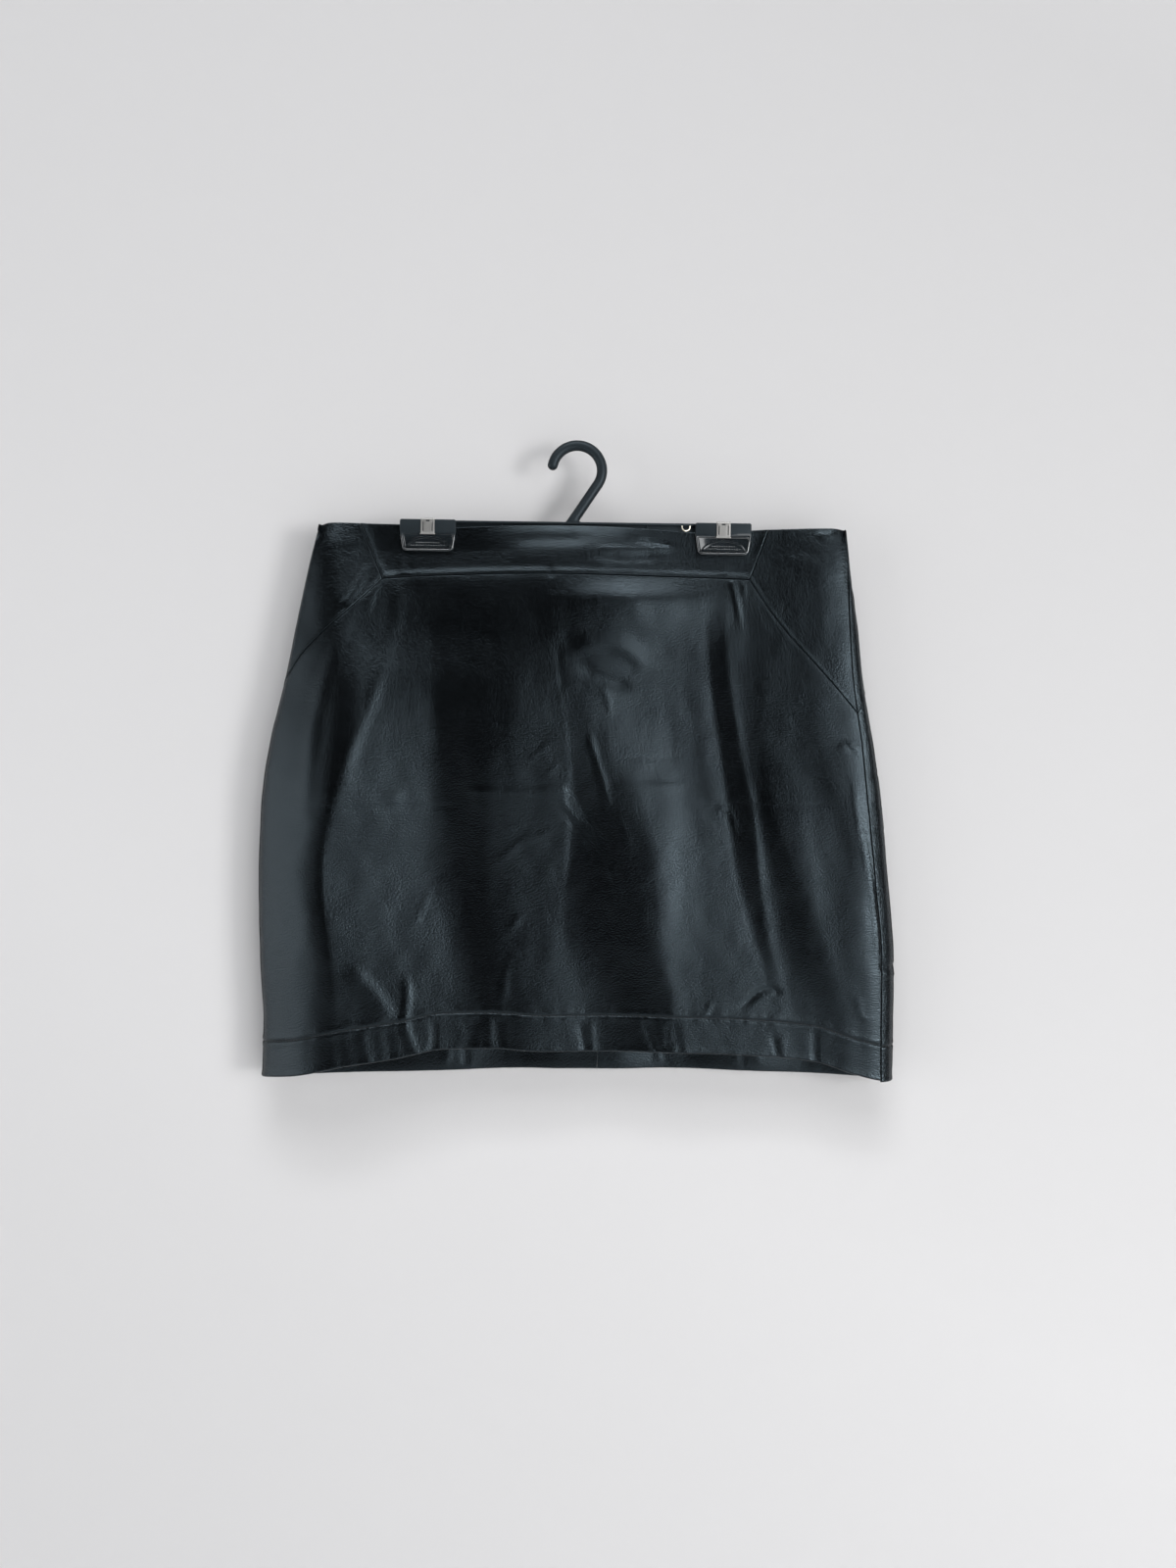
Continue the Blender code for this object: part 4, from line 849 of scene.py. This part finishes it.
thread, tree, shader = new_material("black_sewing_thread")
place = add_node(tree, "ShaderNodeTexCoord", -1000, 0)
twist = add_node(tree, "ShaderNodeTexWave", -750, 0, Scale=900.0, Distortion=1.5)
twist.bands_direction = "DIAGONAL"
tree.links.new(place.outputs["Object"], twist.inputs["Vector"])
tint(tree, shader, twist.outputs["Fac"], (0.004, 0.004, 0.005), (0.020, 0.021, 0.023))
shader.inputs["Roughness"].default_value = 0.42
emboss(tree, shader, twist.outputs["Fac"], 0.5, 0.00008)


def sew_hem(name, panel, columns):
    """Lock stitches along a panel's hem, each a short thread that dips at both ends."""
    count = len(panel.data.vertices)
    points, normals = np.empty(count * 3), np.empty(count * 3)
    panel.data.vertices.foreach_get("co", points)
    panel.data.vertices.foreach_get("normal", normals)
    rows = count // 2 // columns
    line = np.arange(columns) * rows + HEM_STEPS.index(HEM_DEPTH)
    points, normals = points.reshape(-1, 3)[line] / MM, normals.reshape(-1, 3)[line]
    run = np.concatenate(((0.0,), np.cumsum(np.linalg.norm(np.diff(points, axis=0), axis=-1))))
    middles = np.arange(2.0, run[-1] - 2.0, THREAD_PITCH)

    def at(distance, values):
        return np.stack([np.interp(distance, run, values[:, axis]) for axis in range(3)], -1)

    out = at(middles, normals)
    out /= np.linalg.norm(out, axis=-1, keepdims=True)
    along = at(middles + 0.8, points) - at(middles - 0.8, points)
    along /= np.linalg.norm(along, axis=-1, keepdims=True)
    aside = np.cross(out, along)
    rings = []
    for reach, size, sink in (
            (-1.15, 0.4, -0.30), (-0.8, 0.9, 0.0), (-0.3, 1.0, 0.16),
            (0.3, 1.0, 0.16), (0.8, 0.9, 0.0), (1.15, 0.4, -0.30)):
        centre = at(middles + reach, points) + out * sink
        for side in range(6):
            angle = math.radians(60 * side)
            rings.append(centre + THREAD_RADIUS * size * (out * math.cos(angle) + aside * math.sin(angle)))
    corners = np.stack(rings, 1)
    stitch_faces = [
        (ring * 6 + side, ring * 6 + (side + 1) % 6, ring * 6 + 6 + (side + 1) % 6, ring * 6 + 6 + side)
        for ring in range(5) for side in range(6)]
    stitch_faces += [(5, 4, 3, 2, 1, 0), (30, 31, 32, 33, 34, 35)]
    faces = [
        tuple(36 * stitch + corner for corner in face)
        for stitch in range(len(middles)) for face in stitch_faces]
    mesh = bpy.data.meshes.new(name)
    mesh.from_pydata((corners.reshape(-1, 3) * MM).tolist(), [], faces)
    mesh.materials.append(thread)
    mesh.shade_smooth()
    stitching = bpy.data.objects.new(name, mesh)
    bpy.context.collection.objects.link(stitching)
    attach(stitching, "root")
    return stitching


panel_places = crowded(gap_place, 1.0 - gap_place, 480.0, 2.7, ((225.0, 285.0, 1.7), (335.0, 400.0, 1.7)))
panel_places = np.sort(np.concatenate((panel_places, (corner_left, corner_right))))
panel_top = np.where(panel_places > corner_right, right_height(panel_places), middle_height(panel_places))
panel_top = np.where(panel_places < corner_left, left_height(panel_places), panel_top)
panel_foot = edge_height(FRONT_HEM, panel_places)
panel_z = fill_rows(panel_foot, panel_top - PIECE_GAP, 2.3, HEM_STEPS, SEAM_STEPS)
front_panel = sew_panel("front_panel", panel_places, panel_z)
sew_hem("hem_stitching_front", front_panel, len(panel_places))

# ---------------------------------------------------------------- back yokes and panels
# Two yokes over two panels, the same cut mirrored about the centre-back seam. The right
# ones turn round the right side, so a strip of each shows from the front.

BACK_WAIST = (
    (-202.0, -58.0), (-194.0, -56.6), (-116.0, -59.0), (0.0, -62.4), (84.0, -64.8),
    (150.0, -62.4), (200.0, -61.2), (212.0, -62.5))
BACK_HEM = (
    (-250.0, -492.8), (-200.0, -494.2), (-100.0, -492.0), (0.0, -490.8), (100.0, -491.6),
    (200.0, -494.6), (250.0, -496.0))
BACK_CORNERS, BACK_SEAM_Z = (1.18, 1.82), -102.0
BACK_SEAM = np.array((
    (1.0, SIDE_JOIN_Z), (BACK_CORNERS[0], BACK_SEAM_Z), (1.5, BACK_SEAM_Z),
    (BACK_CORNERS[1], BACK_SEAM_Z), (2.0, SIDE_JOIN_Z)))
BACK_WIDTH = 252.0


for side_name, start, end, corner in (
        ("right", 1.0, 1.5, BACK_CORNERS[0]), ("left", 1.5, 2.0, BACK_CORNERS[1])):
    back_places = lerp_columns(start + gap_place, end - gap_place, BACK_WIDTH, 2.8)
    back_places = np.sort(np.append(back_places, corner))
    seam_z = smooth_curve(BACK_SEAM[:, 0], BACK_SEAM[:, 1], back_places)
    waist_z = edge_height(BACK_WAIST, back_places)
    yoke_z = fill_rows(seam_z + PIECE_GAP, waist_z, 2.4, SEAM_STEPS, WAIST_STEPS)
    yoke_places = np.repeat(back_places[:, None], yoke_z.shape[1], 1)
    back_yoke = sew_yoke(f"back_yoke_{side_name}", yoke_places, yoke_z, side_lift)
    foot_z = edge_height(BACK_HEM, back_places)
    panel_z = fill_rows(foot_z, seam_z - PIECE_GAP, 2.6, HEM_STEPS, SEAM_STEPS)
    back_panel = sew_panel(f"back_panel_{side_name}", back_places, panel_z)
    sew_hem(f"hem_stitching_back_{side_name}", back_panel, len(back_places))

# ---------------------------------------------------------------- hanger's bar
# A web with a rear jaw at each end, under a flat top strip, moulded in one in black
# plastic: matte, a little cloudy, and glossy only in the front jaws' sunk grips.

plastic, tree, shader = new_material("moulded_black_plastic")
place = add_node(tree, "ShaderNodeTexCoord", -1300, 0)
flow = texture(tree, "ShaderNodeTexNoise", place.outputs["Object"], -1000, 150, Scale=60.0, Detail=4.0)
pits = texture(tree, "ShaderNodeTexNoise", place.outputs["Object"], -1000, -150, Scale=1400.0, Detail=2.0)
tint(tree, shader, flow.outputs["Fac"], (0.008, 0.011, 0.013), (0.015, 0.020, 0.024))
shader.inputs["Specular Tint"].default_value = (0.72, 0.88, 1.0, 1.0)
height = add_node(tree, "ShaderNodeSeparateXYZ", -1000, -400)
tree.links.new(place.outputs["Object"], height.inputs["Vector"])
GRIP_Z, SHOULDER_Z = -0.0690, -0.0652
matte, shine = (
    add_node(tree, "ShaderNodeMapRange", -800, y, From_Min=GRIP_Z, From_Max=SHOULDER_Z,
             To_Min=in_grip, To_Max=above)
    for y, in_grip, above in ((-400, 0.09, 0.40), (-650, 0.75, 0.0)))
for by_height in (matte, shine):
    tree.links.new(height.outputs["Z"], by_height.inputs["Value"])
tree.links.new(shine.outputs["Result"], shader.inputs["Coat Weight"])
shader.inputs["Specular IOR Level"].default_value = 0.38
shader.inputs["Coat IOR"].default_value = 2.4
shader.inputs["Coat Roughness"].default_value = 0.06
cloud = math_node(tree, "MULTIPLY", flow.outputs["Fac"], 0.12, -700, -50)
gloss = math_node(tree, "ADD", cloud, matte.outputs["Result"], -500, 0)
tree.links.new(gloss, shader.inputs["Roughness"])
emboss(tree, shader, pits.outputs["Fac"], 0.2, 0.0001)


def pick(piece, kind, test):
    """In edit mode, selects the vertices, edges or faces that pass a test, in millimetres."""
    bpy.ops.mesh.select_mode(type=kind)
    bpy.ops.mesh.select_all(action="DESELECT")
    bpy.ops.object.mode_set(mode="OBJECT")
    mesh = piece.data
    if kind == "VERT":
        for vertex in mesh.vertices:
            vertex.select = test(vertex.co / MM)
    elif kind == "EDGE":
        for edge in mesh.edges:
            edge.select = test(*(mesh.vertices[index].co / MM for index in edge.vertices))
    else:
        for face in mesh.polygons:
            face.select = test(face.center / MM, face.normal)
    bpy.ops.object.mode_set(mode="EDIT")


def block(name, low, high):
    """A box between two corners, in millimetres, left active in object mode."""
    bpy.ops.object.select_all(action="DESELECT")
    low, high = Vector(low) * MM, Vector(high) * MM
    bpy.ops.mesh.primitive_cube_add(size=1.0, location=(low + high) / 2, scale=high - low)
    bpy.context.object.name = name
    bpy.ops.object.transform_apply(location=True, rotation=True, scale=True)
    return bpy.context.object


def round_edges(piece, width, segments=3):
    """Rounds the sharp edges, as a mould does, and shades the rest smooth."""
    bevel = piece.modifiers.new("rounding", "BEVEL")
    bevel.width = width * MM
    bevel.segments = segments
    bevel.limit_method = "ANGLE"
    bevel.angle_limit = math.radians(32)
    bpy.ops.object.modifier_apply(modifier=bevel.name)
    bpy.ops.object.shade_smooth_by_angle(angle=math.radians(38))


def join(pieces):
    bpy.ops.object.select_all(action="DESELECT")
    for piece in pieces:
        piece.select_set(True)
    bpy.context.view_layer.objects.active = pieces[0]
    bpy.ops.object.join()
    return pieces[0]


def hang(piece, node_name):
    """Tilts a finished piece with the hanger and puts it in its node's place."""
    bpy.ops.object.select_all(action="DESELECT")
    piece.select_set(True)
    bpy.context.view_layer.objects.active = piece
    bpy.ops.object.transform_apply(location=True, rotation=True, scale=True)
    piece.rotation_euler.y = HANGER_TILT
    bpy.ops.object.transform_apply(location=True, rotation=True, scale=True)
    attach(piece, "root")
    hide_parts(node_name)


def left_copy(piece, name):
    """The same piece at the left end of the bar."""
    copy = piece.copy()
    copy.data = piece.data.copy()
    copy.name = name
    copy.location.x = -2 * CLIP_X * MM
    bpy.context.collection.objects.link(copy)
    return copy


def jaw_plate(name, front, back):
    """The right jaw's outline as a plate: straight shoulders, a drawn-in foot, round corners."""
    plate = block(name, (94.0, front, -80.7), (138.0, back, -55.7))
    bpy.ops.object.mode_set(mode="EDIT")
    bpy.ops.mesh.select_all(action="SELECT")
    bpy.ops.mesh.bisect(plane_co=(0.0, 0.0, -64.9 * MM), plane_no=(0.0, 0.0, 1.0))
    pick(plate, "VERT", lambda at: at.z < -80.0)
    bpy.ops.transform.resize(value=(39.0 / 44.0, 1.0, 1.0), center_override=(CLIP_X * MM, 0.0, 0.0))
    pick(plate, "EDGE", lambda a, b: abs(a.y - b.y) > 1.0 and a.z > -56.0)
    bpy.ops.mesh.bevel(offset=1.5 * MM, segments=4)
    pick(plate, "EDGE", lambda a, b: abs(a.y - b.y) > 1.0 and a.z < -80.0)
    bpy.ops.mesh.bevel(offset=3.4 * MM, segments=6)
    bpy.ops.object.mode_set(mode="OBJECT")
    return plate


strip = block("bar", (-95.5, -4.0, -57.4), (95.5, 4.0, -55.6))
round_edges(strip, 0.35)
web = block("bar_web", (-96.0, -1.45, -66.5), (96.0, 1.45, -56.5))
round_edges(web, 0.3)
bar_parts = [strip, web]
for rib_x in (-58.5, 56.5):
    rib = block("bar_rib", (rib_x - 0.5, -3.3, -60.4), (rib_x + 0.5, -1.2, -57.0))
    round_edges(rib, 0.2)
    bar_parts.append(rib)
for side in (1, -1):
    rear_jaw = jaw_plate("rear_jaw", -1.45, 1.45)
    round_edges(rear_jaw, 0.5)
    if side < 0:
        bpy.ops.transform.translate(value=(-2 * CLIP_X * MM, 0.0, 0.0))
    bar_parts.append(rear_jaw)
for part in bar_parts:
    part.data.materials.append(plastic)
bar = join(bar_parts)
bar.name = "bar_moulding"
hang(bar, "hanger_bar")

# ---------------------------------------------------------------- hook
# A round rod, moulded with the bar: a rounded tip, a crown over its seat, and a slanted
# stem that spreads into a foot.

HOOK_CENTRE = Vector((0.5 * MM, 0.0, -14.1 * MM))
HOOK_TURN = 19.7 * MM
ROD = 4.1 * MM
TIP_TURN = math.radians(12.0)
STEM_TURN = math.radians(35.4)
ahead = Vector((math.sin(TIP_TURN), 0.0, math.cos(TIP_TURN)))
ring_at = HOOK_CENTRE + HOOK_TURN * Vector((-math.cos(TIP_TURN), 0.0, math.sin(TIP_TURN)))
turn = math.radians(14.0)
ring_at = ring_at - ahead * ROD * math.cos(turn)
bpy.ops.object.select_all(action="DESELECT")
bpy.ops.mesh.primitive_circle_add(
    vertices=28, radius=ROD * math.sin(turn), location=ring_at, rotation=(0.0, TIP_TURN, 0.0))
hook = bpy.context.object
hook.name = "hook_moulding"
bpy.ops.object.transform_apply(location=True, rotation=True, scale=True)
bpy.ops.object.mode_set(mode="EDIT")
bpy.ops.mesh.select_all(action="SELECT")
for degrees in (30.0, 46.0, 61.0, 76.0, 90.0):
    next_turn = math.radians(degrees)
    step = ahead * ROD * (math.cos(turn) - math.cos(next_turn))
    ring_at = ring_at + step
    growth = math.sin(next_turn) / math.sin(turn)
    bpy.ops.mesh.extrude_region_move(TRANSFORM_OT_translate={"value": step})
    bpy.ops.transform.resize(value=(growth, growth, growth), center_override=ring_at)
    turn = next_turn
bpy.ops.mesh.spin(
    steps=40, angle=-(math.pi - TIP_TURN + STEM_TURN), center=HOOK_CENTRE, axis=(0.0, 1.0, 0.0))
ring_at = HOOK_CENTRE + HOOK_TURN * Vector((math.cos(STEM_TURN), 0.0, -math.sin(STEM_TURN)))
foot_z = -55.5 * MM
for rise, lean, width in (
        (7.0, 0.0, 1.0), (4.6, 8.0, 1.02), (3.0, 18.0, 1.09),
        (1.7, 27.0, 1.22), (0.8, 33.0, 1.42), (0.0, 35.4, 1.78)):
    # the left edge runs on down the slant while the right one spreads
    middle_x = (-3.6 + rise * math.tan(STEM_TURN) + (width - 1.0) * 2.4) * MM
    next_at = Vector((middle_x, 0.0, foot_z + rise * MM))
    bpy.ops.mesh.extrude_region_move(TRANSFORM_OT_translate={"value": next_at - ring_at})
    ring_at = next_at
    if lean:
        bpy.ops.transform.rotate(
            value=math.radians(lean - leaned), orient_axis="Y", center_override=ring_at)
        bpy.ops.transform.resize(value=(width / wide, 1.0, 1.0), center_override=ring_at)
    leaned, wide = lean, width
bpy.ops.mesh.select_all(action="SELECT")
bpy.ops.mesh.fill_holes(sides=0)
bpy.ops.mesh.normals_make_consistent(inside=False)
bpy.ops.object.mode_set(mode="OBJECT")
bpy.ops.object.shade_smooth_by_angle(angle=math.radians(50))
hook.data.materials.append(plastic)
hang(hook, "hanger_hook")

# ---------------------------------------------------------------- front jaws
# A plate with plain shoulders either side of the spring. Below them a glossy sunk grip
# lies inside a rounded rim, with an arched pad in it under two rows of small bumps.

jaw = jaw_plate("jaw_moulding_right", -8.25, -5.35)
bpy.ops.object.mode_set(mode="EDIT")
pick(jaw, "FACE", lambda at, normal: normal.y < -0.9 and at.z < -65.5)
bpy.ops.mesh.inset(thickness=1.7 * MM)
bpy.ops.mesh.extrude_region_move(TRANSFORM_OT_translate={"value": (0.0, 1.3 * MM, 0.0)})
bpy.ops.transform.resize(value=(0.975, 1.0, 0.90), center_override=(CLIP_X * MM, 0.0, -72.7 * MM))
bpy.ops.object.mode_set(mode="OBJECT")
round_edges(jaw, 0.9, 4)

bpy.ops.object.select_all(action="DESELECT")
bpy.ops.mesh.primitive_cylinder_add(
    vertices=64, radius=MM, depth=MM, location=(CLIP_X * MM, -8.0 * MM, -78.1 * MM),
    rotation=(math.radians(90), 0.0, 0.0), scale=(17.0, 8.9, 1.8))
pad = bpy.context.object
pad.name = "jaw_pad"
bpy.ops.object.transform_apply(location=True, rotation=True, scale=True)
bpy.ops.object.mode_set(mode="EDIT")
bpy.ops.mesh.select_all(action="SELECT")
bpy.ops.mesh.bisect(
    plane_co=(0.0, 0.0, -78.1 * MM), plane_no=(0.0, 0.0, 1.0), clear_inner=True, use_fill=True)
pick(pad, "FACE", lambda at, normal: normal.y < -0.9)
bpy.ops.mesh.inset(thickness=1.5 * MM)
bpy.ops.mesh.extrude_region_move(TRANSFORM_OT_translate={"value": (0.0, 0.8 * MM, 0.0)})
bpy.ops.object.mode_set(mode="OBJECT")
round_edges(pad, 0.6)
bpy.ops.object.mode_set(mode="EDIT")
for row_z, half, count in ((-74.2, 8.6, 10), (-76.4, 12.8, 14)):
    for number in range(count):
        across = -half + 2.0 * half * number / (count - 1)
        size = 0.55 + 0.2 * noise.noise(Vector((across, row_z, 3.7)))
        bump_at = Vector((CLIP_X + across, -8.1, row_z)) * MM
        bpy.ops.mesh.primitive_ico_sphere_add(subdivisions=2, radius=size * MM, location=bump_at)
        bpy.ops.transform.resize(value=(1.35, 0.8, 1.0), center_override=bump_at)
bpy.ops.mesh.select_all(action="SELECT")
bpy.ops.mesh.faces_shade_smooth()
bpy.ops.object.mode_set(mode="OBJECT")
bpy.ops.object.shade_smooth_by_angle(angle=math.radians(38))
for part in (jaw, pad):
    part.data.materials.append(plastic)
jaw = join([jaw, pad])
left_jaw = left_copy(jaw, "jaw_moulding_left")
hang(jaw, "clip_jaw_right")
hang(left_jaw, "clip_jaw_left")

# ---------------------------------------------------------------- springs
# A strip of plated steel bent over both jaws. Its front leg has two long slots and a small
# latch hole, and ends in a lip that is a little wider and turned out.

steel, tree, shader = new_material("plated_spring_steel")
place = add_node(tree, "ShaderNodeTexCoord", -1100, 0)
stretch = add_node(tree, "ShaderNodeMapping", -950, 0)
stretch.inputs["Scale"].default_value = (1.0, 1.0, 0.05)
tree.links.new(place.outputs["Object"], stretch.inputs["Vector"])
drawn = texture(tree, "ShaderNodeTexNoise", stretch.outputs["Vector"], -750, 0, Scale=2200.0, Detail=3.0)
tint(tree, shader, drawn.outputs["Fac"], (0.30, 0.30, 0.295), (0.50, 0.50, 0.49))
gloss = math_node(tree, "MULTIPLY_ADD", drawn.outputs["Fac"], 0.25, -500, -50)
gloss.node.inputs[2].default_value = 0.26
tree.links.new(gloss, shader.inputs["Roughness"])
shader.inputs["Metallic"].default_value = 0.72

bpy.ops.object.select_all(action="DESELECT")
bpy.ops.mesh.primitive_plane_add(
    size=MM, location=(CLIP_X * MM, -8.95 * MM, -61.95 * MM), rotation=(math.radians(90), 0.0, 0.0))
spring = bpy.context.object
spring.name = "spring_strip_right"
spring.scale = (10.8, 11.9, 1.0)
bpy.ops.object.transform_apply(location=True, rotation=True, scale=True)
bpy.ops.object.mode_set(mode="EDIT")
for cut_x in (-3.95, -3.25, -1.5, 1.5, 3.25, 3.95):
    bpy.ops.mesh.select_all(action="SELECT")
    bpy.ops.mesh.bisect(plane_co=((CLIP_X + cut_x) * MM, 0.0, 0.0), plane_no=(1.0, 0.0, 0.0))
for cut_z in (-66.6, -65.3, -58.0, -57.7, -56.6):
    bpy.ops.mesh.select_all(action="SELECT")
    bpy.ops.mesh.bisect(plane_co=(0.0, 0.0, cut_z * MM), plane_no=(0.0, 0.0, 1.0))
pick(spring, "FACE", lambda at, normal: (
    3.25 < abs(at.x - CLIP_X) < 3.95 and -65.3 < at.z < -58.0) or (
    abs(at.x - CLIP_X) < 1.5 and -57.7 < at.z < -56.6))
bpy.ops.mesh.delete(type="FACE")
pick(spring, "VERT", lambda at: at.z < -67.5)
bpy.ops.transform.resize(value=(1.12, 1.0, 1.0), center_override=(CLIP_X * MM, 0.0, 0.0))
bpy.ops.transform.translate(value=(0.0, -0.35 * MM, 0.0))
pick(spring, "VERT", lambda at: at.z > -56.1)
for step in (
        (0.13, 0.5), (0.37, 0.37), (0.5, 0.13), (9.1, 0.0),
        (0.5, -0.13), (0.37, -0.37), (0.13, -0.5), (0.0, -11.9)):
    bpy.ops.mesh.extrude_region_move(
        TRANSFORM_OT_translate={"value": (0.0, step[0] * MM, step[1] * MM)})
bpy.ops.mesh.select_all(action="SELECT")
bpy.ops.mesh.normals_make_consistent(inside=False)
bpy.ops.object.mode_set(mode="OBJECT")
wall_of_strip = spring.modifiers.new("strip", "SOLIDIFY")
wall_of_strip.thickness = 0.75 * MM
wall_of_strip.offset = 0.0
bpy.ops.object.modifier_apply(modifier=wall_of_strip.name)
round_edges(spring, 0.12, 2)
spring.data.materials.append(steel)
left_spring = left_copy(spring, "spring_strip_left")
hang(spring, "clip_spring_right")
hang(left_spring, "clip_spring_left")

# ---------------------------------------------------------------- loop
# A small open loop of gilt wire beside the right clip, bright where the light catches it.

gilt, tree, shader = new_material("gilt_wire")
place = add_node(tree, "ShaderNodeTexCoord", -900, 0)
rub = texture(tree, "ShaderNodeTexNoise", place.outputs["Object"], -700, 0, Scale=900.0, Detail=3.0)
tint(tree, shader, rub.outputs["Fac"], (0.86, 0.78, 0.60), (0.98, 0.95, 0.86))
shader.inputs["Roughness"].default_value = 0.3
shader.inputs["Metallic"].default_value = 0.55
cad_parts["waist_loop"].data.materials[0] = gilt

# ---------------------------------------------------------------- room
# A pale wall close behind, with painted shade darkening it towards the top right, a pale floor far below,
# soft studio light, and the camera.

wall_with_painted_shade, tree, shader = new_material("pale_wall_with_painted_shade")
wall_place = add_node(tree, "ShaderNodeTexCoord", -1300, 500)
wall_axes = add_node(tree, "ShaderNodeSeparateXYZ", -1100, 500)
tree.links.new(wall_place.outputs["Object"], wall_axes.inputs["Vector"])
# Painted shade: the wall's colour darkens from the lower left towards the top right, standing in for light
# that falls off across the wall.
painted_shade_slope = math_node(tree, "MULTIPLY_ADD", wall_axes.outputs["X"], 0.5, -900, 500)
tree.links.new(wall_axes.outputs["Y"], painted_shade_slope.node.inputs[2])
painted_shade_factor = add_node(tree, "ShaderNodeMapRange", -700, 500, From_Min=-0.55, From_Max=0.53)
tree.links.new(painted_shade_slope, painted_shade_factor.inputs["Value"])
tint(tree, shader, painted_shade_factor.outputs["Result"], (0.752, 0.752, 0.766), (0.552, 0.552, 0.563))
shader.inputs["Roughness"].default_value = 0.9
shader.inputs["Specular IOR Level"].default_value = 0.1
clear = add_node(tree, "ShaderNodeBsdfTransparent", 0, -300)
facing = add_node(tree, "ShaderNodeNewGeometry", -400, 300)
path = add_node(tree, "ShaderNodeLightPath", -800, 0)
SHORT_RAY = 0.05
short = math_node(tree, "LESS_THAN", path.outputs["Ray Length"], SHORT_RAY, -500, 0)
not_seen = math_node(tree, "SUBTRACT", 1.0, path.outputs["Is Camera Ray"], -500, -200)
passing = math_node(tree, "MULTIPLY", short, not_seen, -300, -100)
through = math_node(tree, "MAXIMUM", facing.outputs["Backfacing"], passing, -100, 200)
mix = add_node(tree, "ShaderNodeMixShader", 300, 0)
tree.links.new(through, mix.inputs[0])
tree.links.new(shader.outputs[0], mix.inputs[1])
tree.links.new(clear.outputs[0], mix.inputs[2])
tree.links.new(mix.outputs[0], tree.nodes["Material Output"].inputs["Surface"])

WALL_Y = 0.027
bpy.ops.mesh.primitive_plane_add(
    size=5.0, location=(0.0, WALL_Y, 0.0), rotation=(math.radians(90), 0.0, 0.0))
wall = bpy.context.object
wall.name = "wall"
wall.data.materials.append(wall_with_painted_shade)

floor_paint, tree, shader = new_material("pale_floor")
shader.inputs["Base Color"].default_value = (0.78, 0.78, 0.78, 1.0)
shader.inputs["Roughness"].default_value = 0.8
bpy.ops.mesh.primitive_plane_add(size=8.0, location=(0.0, 0.0, -1.4))
floor = bpy.context.object
floor.name = "floor"
floor.data.materials.append(floor_paint)

LOOK_AT = Vector((0.0089, 0.0, -0.262))


def add_light(name, place, size, power, colour=(1.0, 1.0, 1.0)):
    data = bpy.data.lights.new(name, "AREA")
    data.shape = "RECTANGLE"
    data.size, data.size_y = size
    data.energy = power
    data.color = colour
    light = bpy.data.objects.new(name, data)
    bpy.context.collection.objects.link(light)
    light.location = place
    light.rotation_euler = (LOOK_AT - Vector(place)).to_track_quat("-Z", "Y").to_euler()
    return light


def from_centre(distance, across, up):
    """A place at a distance from the skirt's middle, degrees to the right and degrees up."""
    across, up = math.radians(across), math.radians(up)
    return LOOK_AT + distance * Vector((
        math.sin(across) * math.cos(up), -math.cos(across) * math.cos(up), math.sin(up)))


add_light("window", from_centre(3.0, 45, 0), (0.8, 0.9), 30.0, (1.0, 0.99, 0.97))
add_light("right_wall", from_centre(3.0, 32, -4), (1.9, 3.0), 38.0)
add_light("left_lamp", from_centre(3.0, -56, -30), (0.7, 0.7), 24.0)
add_light("left_wall", from_centre(3.2, -66, -4), (2.4, 2.4), 31.0)
add_light("ceiling", from_centre(3.0, 0, 51), (3.0, 1.2), 31.0)
add_light("low", from_centre(2.6, 0, -62), (3.0, 1.2), 22.0)
add_light("lamp", from_centre(2.6, 0, 60), (1.4, 0.3), 15.0)
add_light("behind", (0.6, 2.6, 0.6), (2.4, 2.4), 30.0)

world = bpy.data.worlds.new("room")
bpy.context.scene.world = world
world.use_nodes = True
world.node_tree.nodes["Background"].inputs["Color"].default_value = (0.92, 0.95, 1.0, 1.0)
world.node_tree.nodes["Background"].inputs["Strength"].default_value = 0.01
bpy.context.scene.view_settings.view_transform = "Standard"

camera_data = bpy.data.cameras.new("camera")
camera = bpy.data.objects.new("camera", camera_data)
bpy.context.collection.objects.link(camera)
camera.location = (LOOK_AT.x, -1.0, LOOK_AT.z)
camera.rotation_euler = (math.radians(90), 0.0, 0.0)
camera_data.sensor_fit = "VERTICAL"
camera_data.sensor_height = 24.0
camera_data.lens = 24.0 / 2 / 0.62
bpy.context.scene.camera = camera
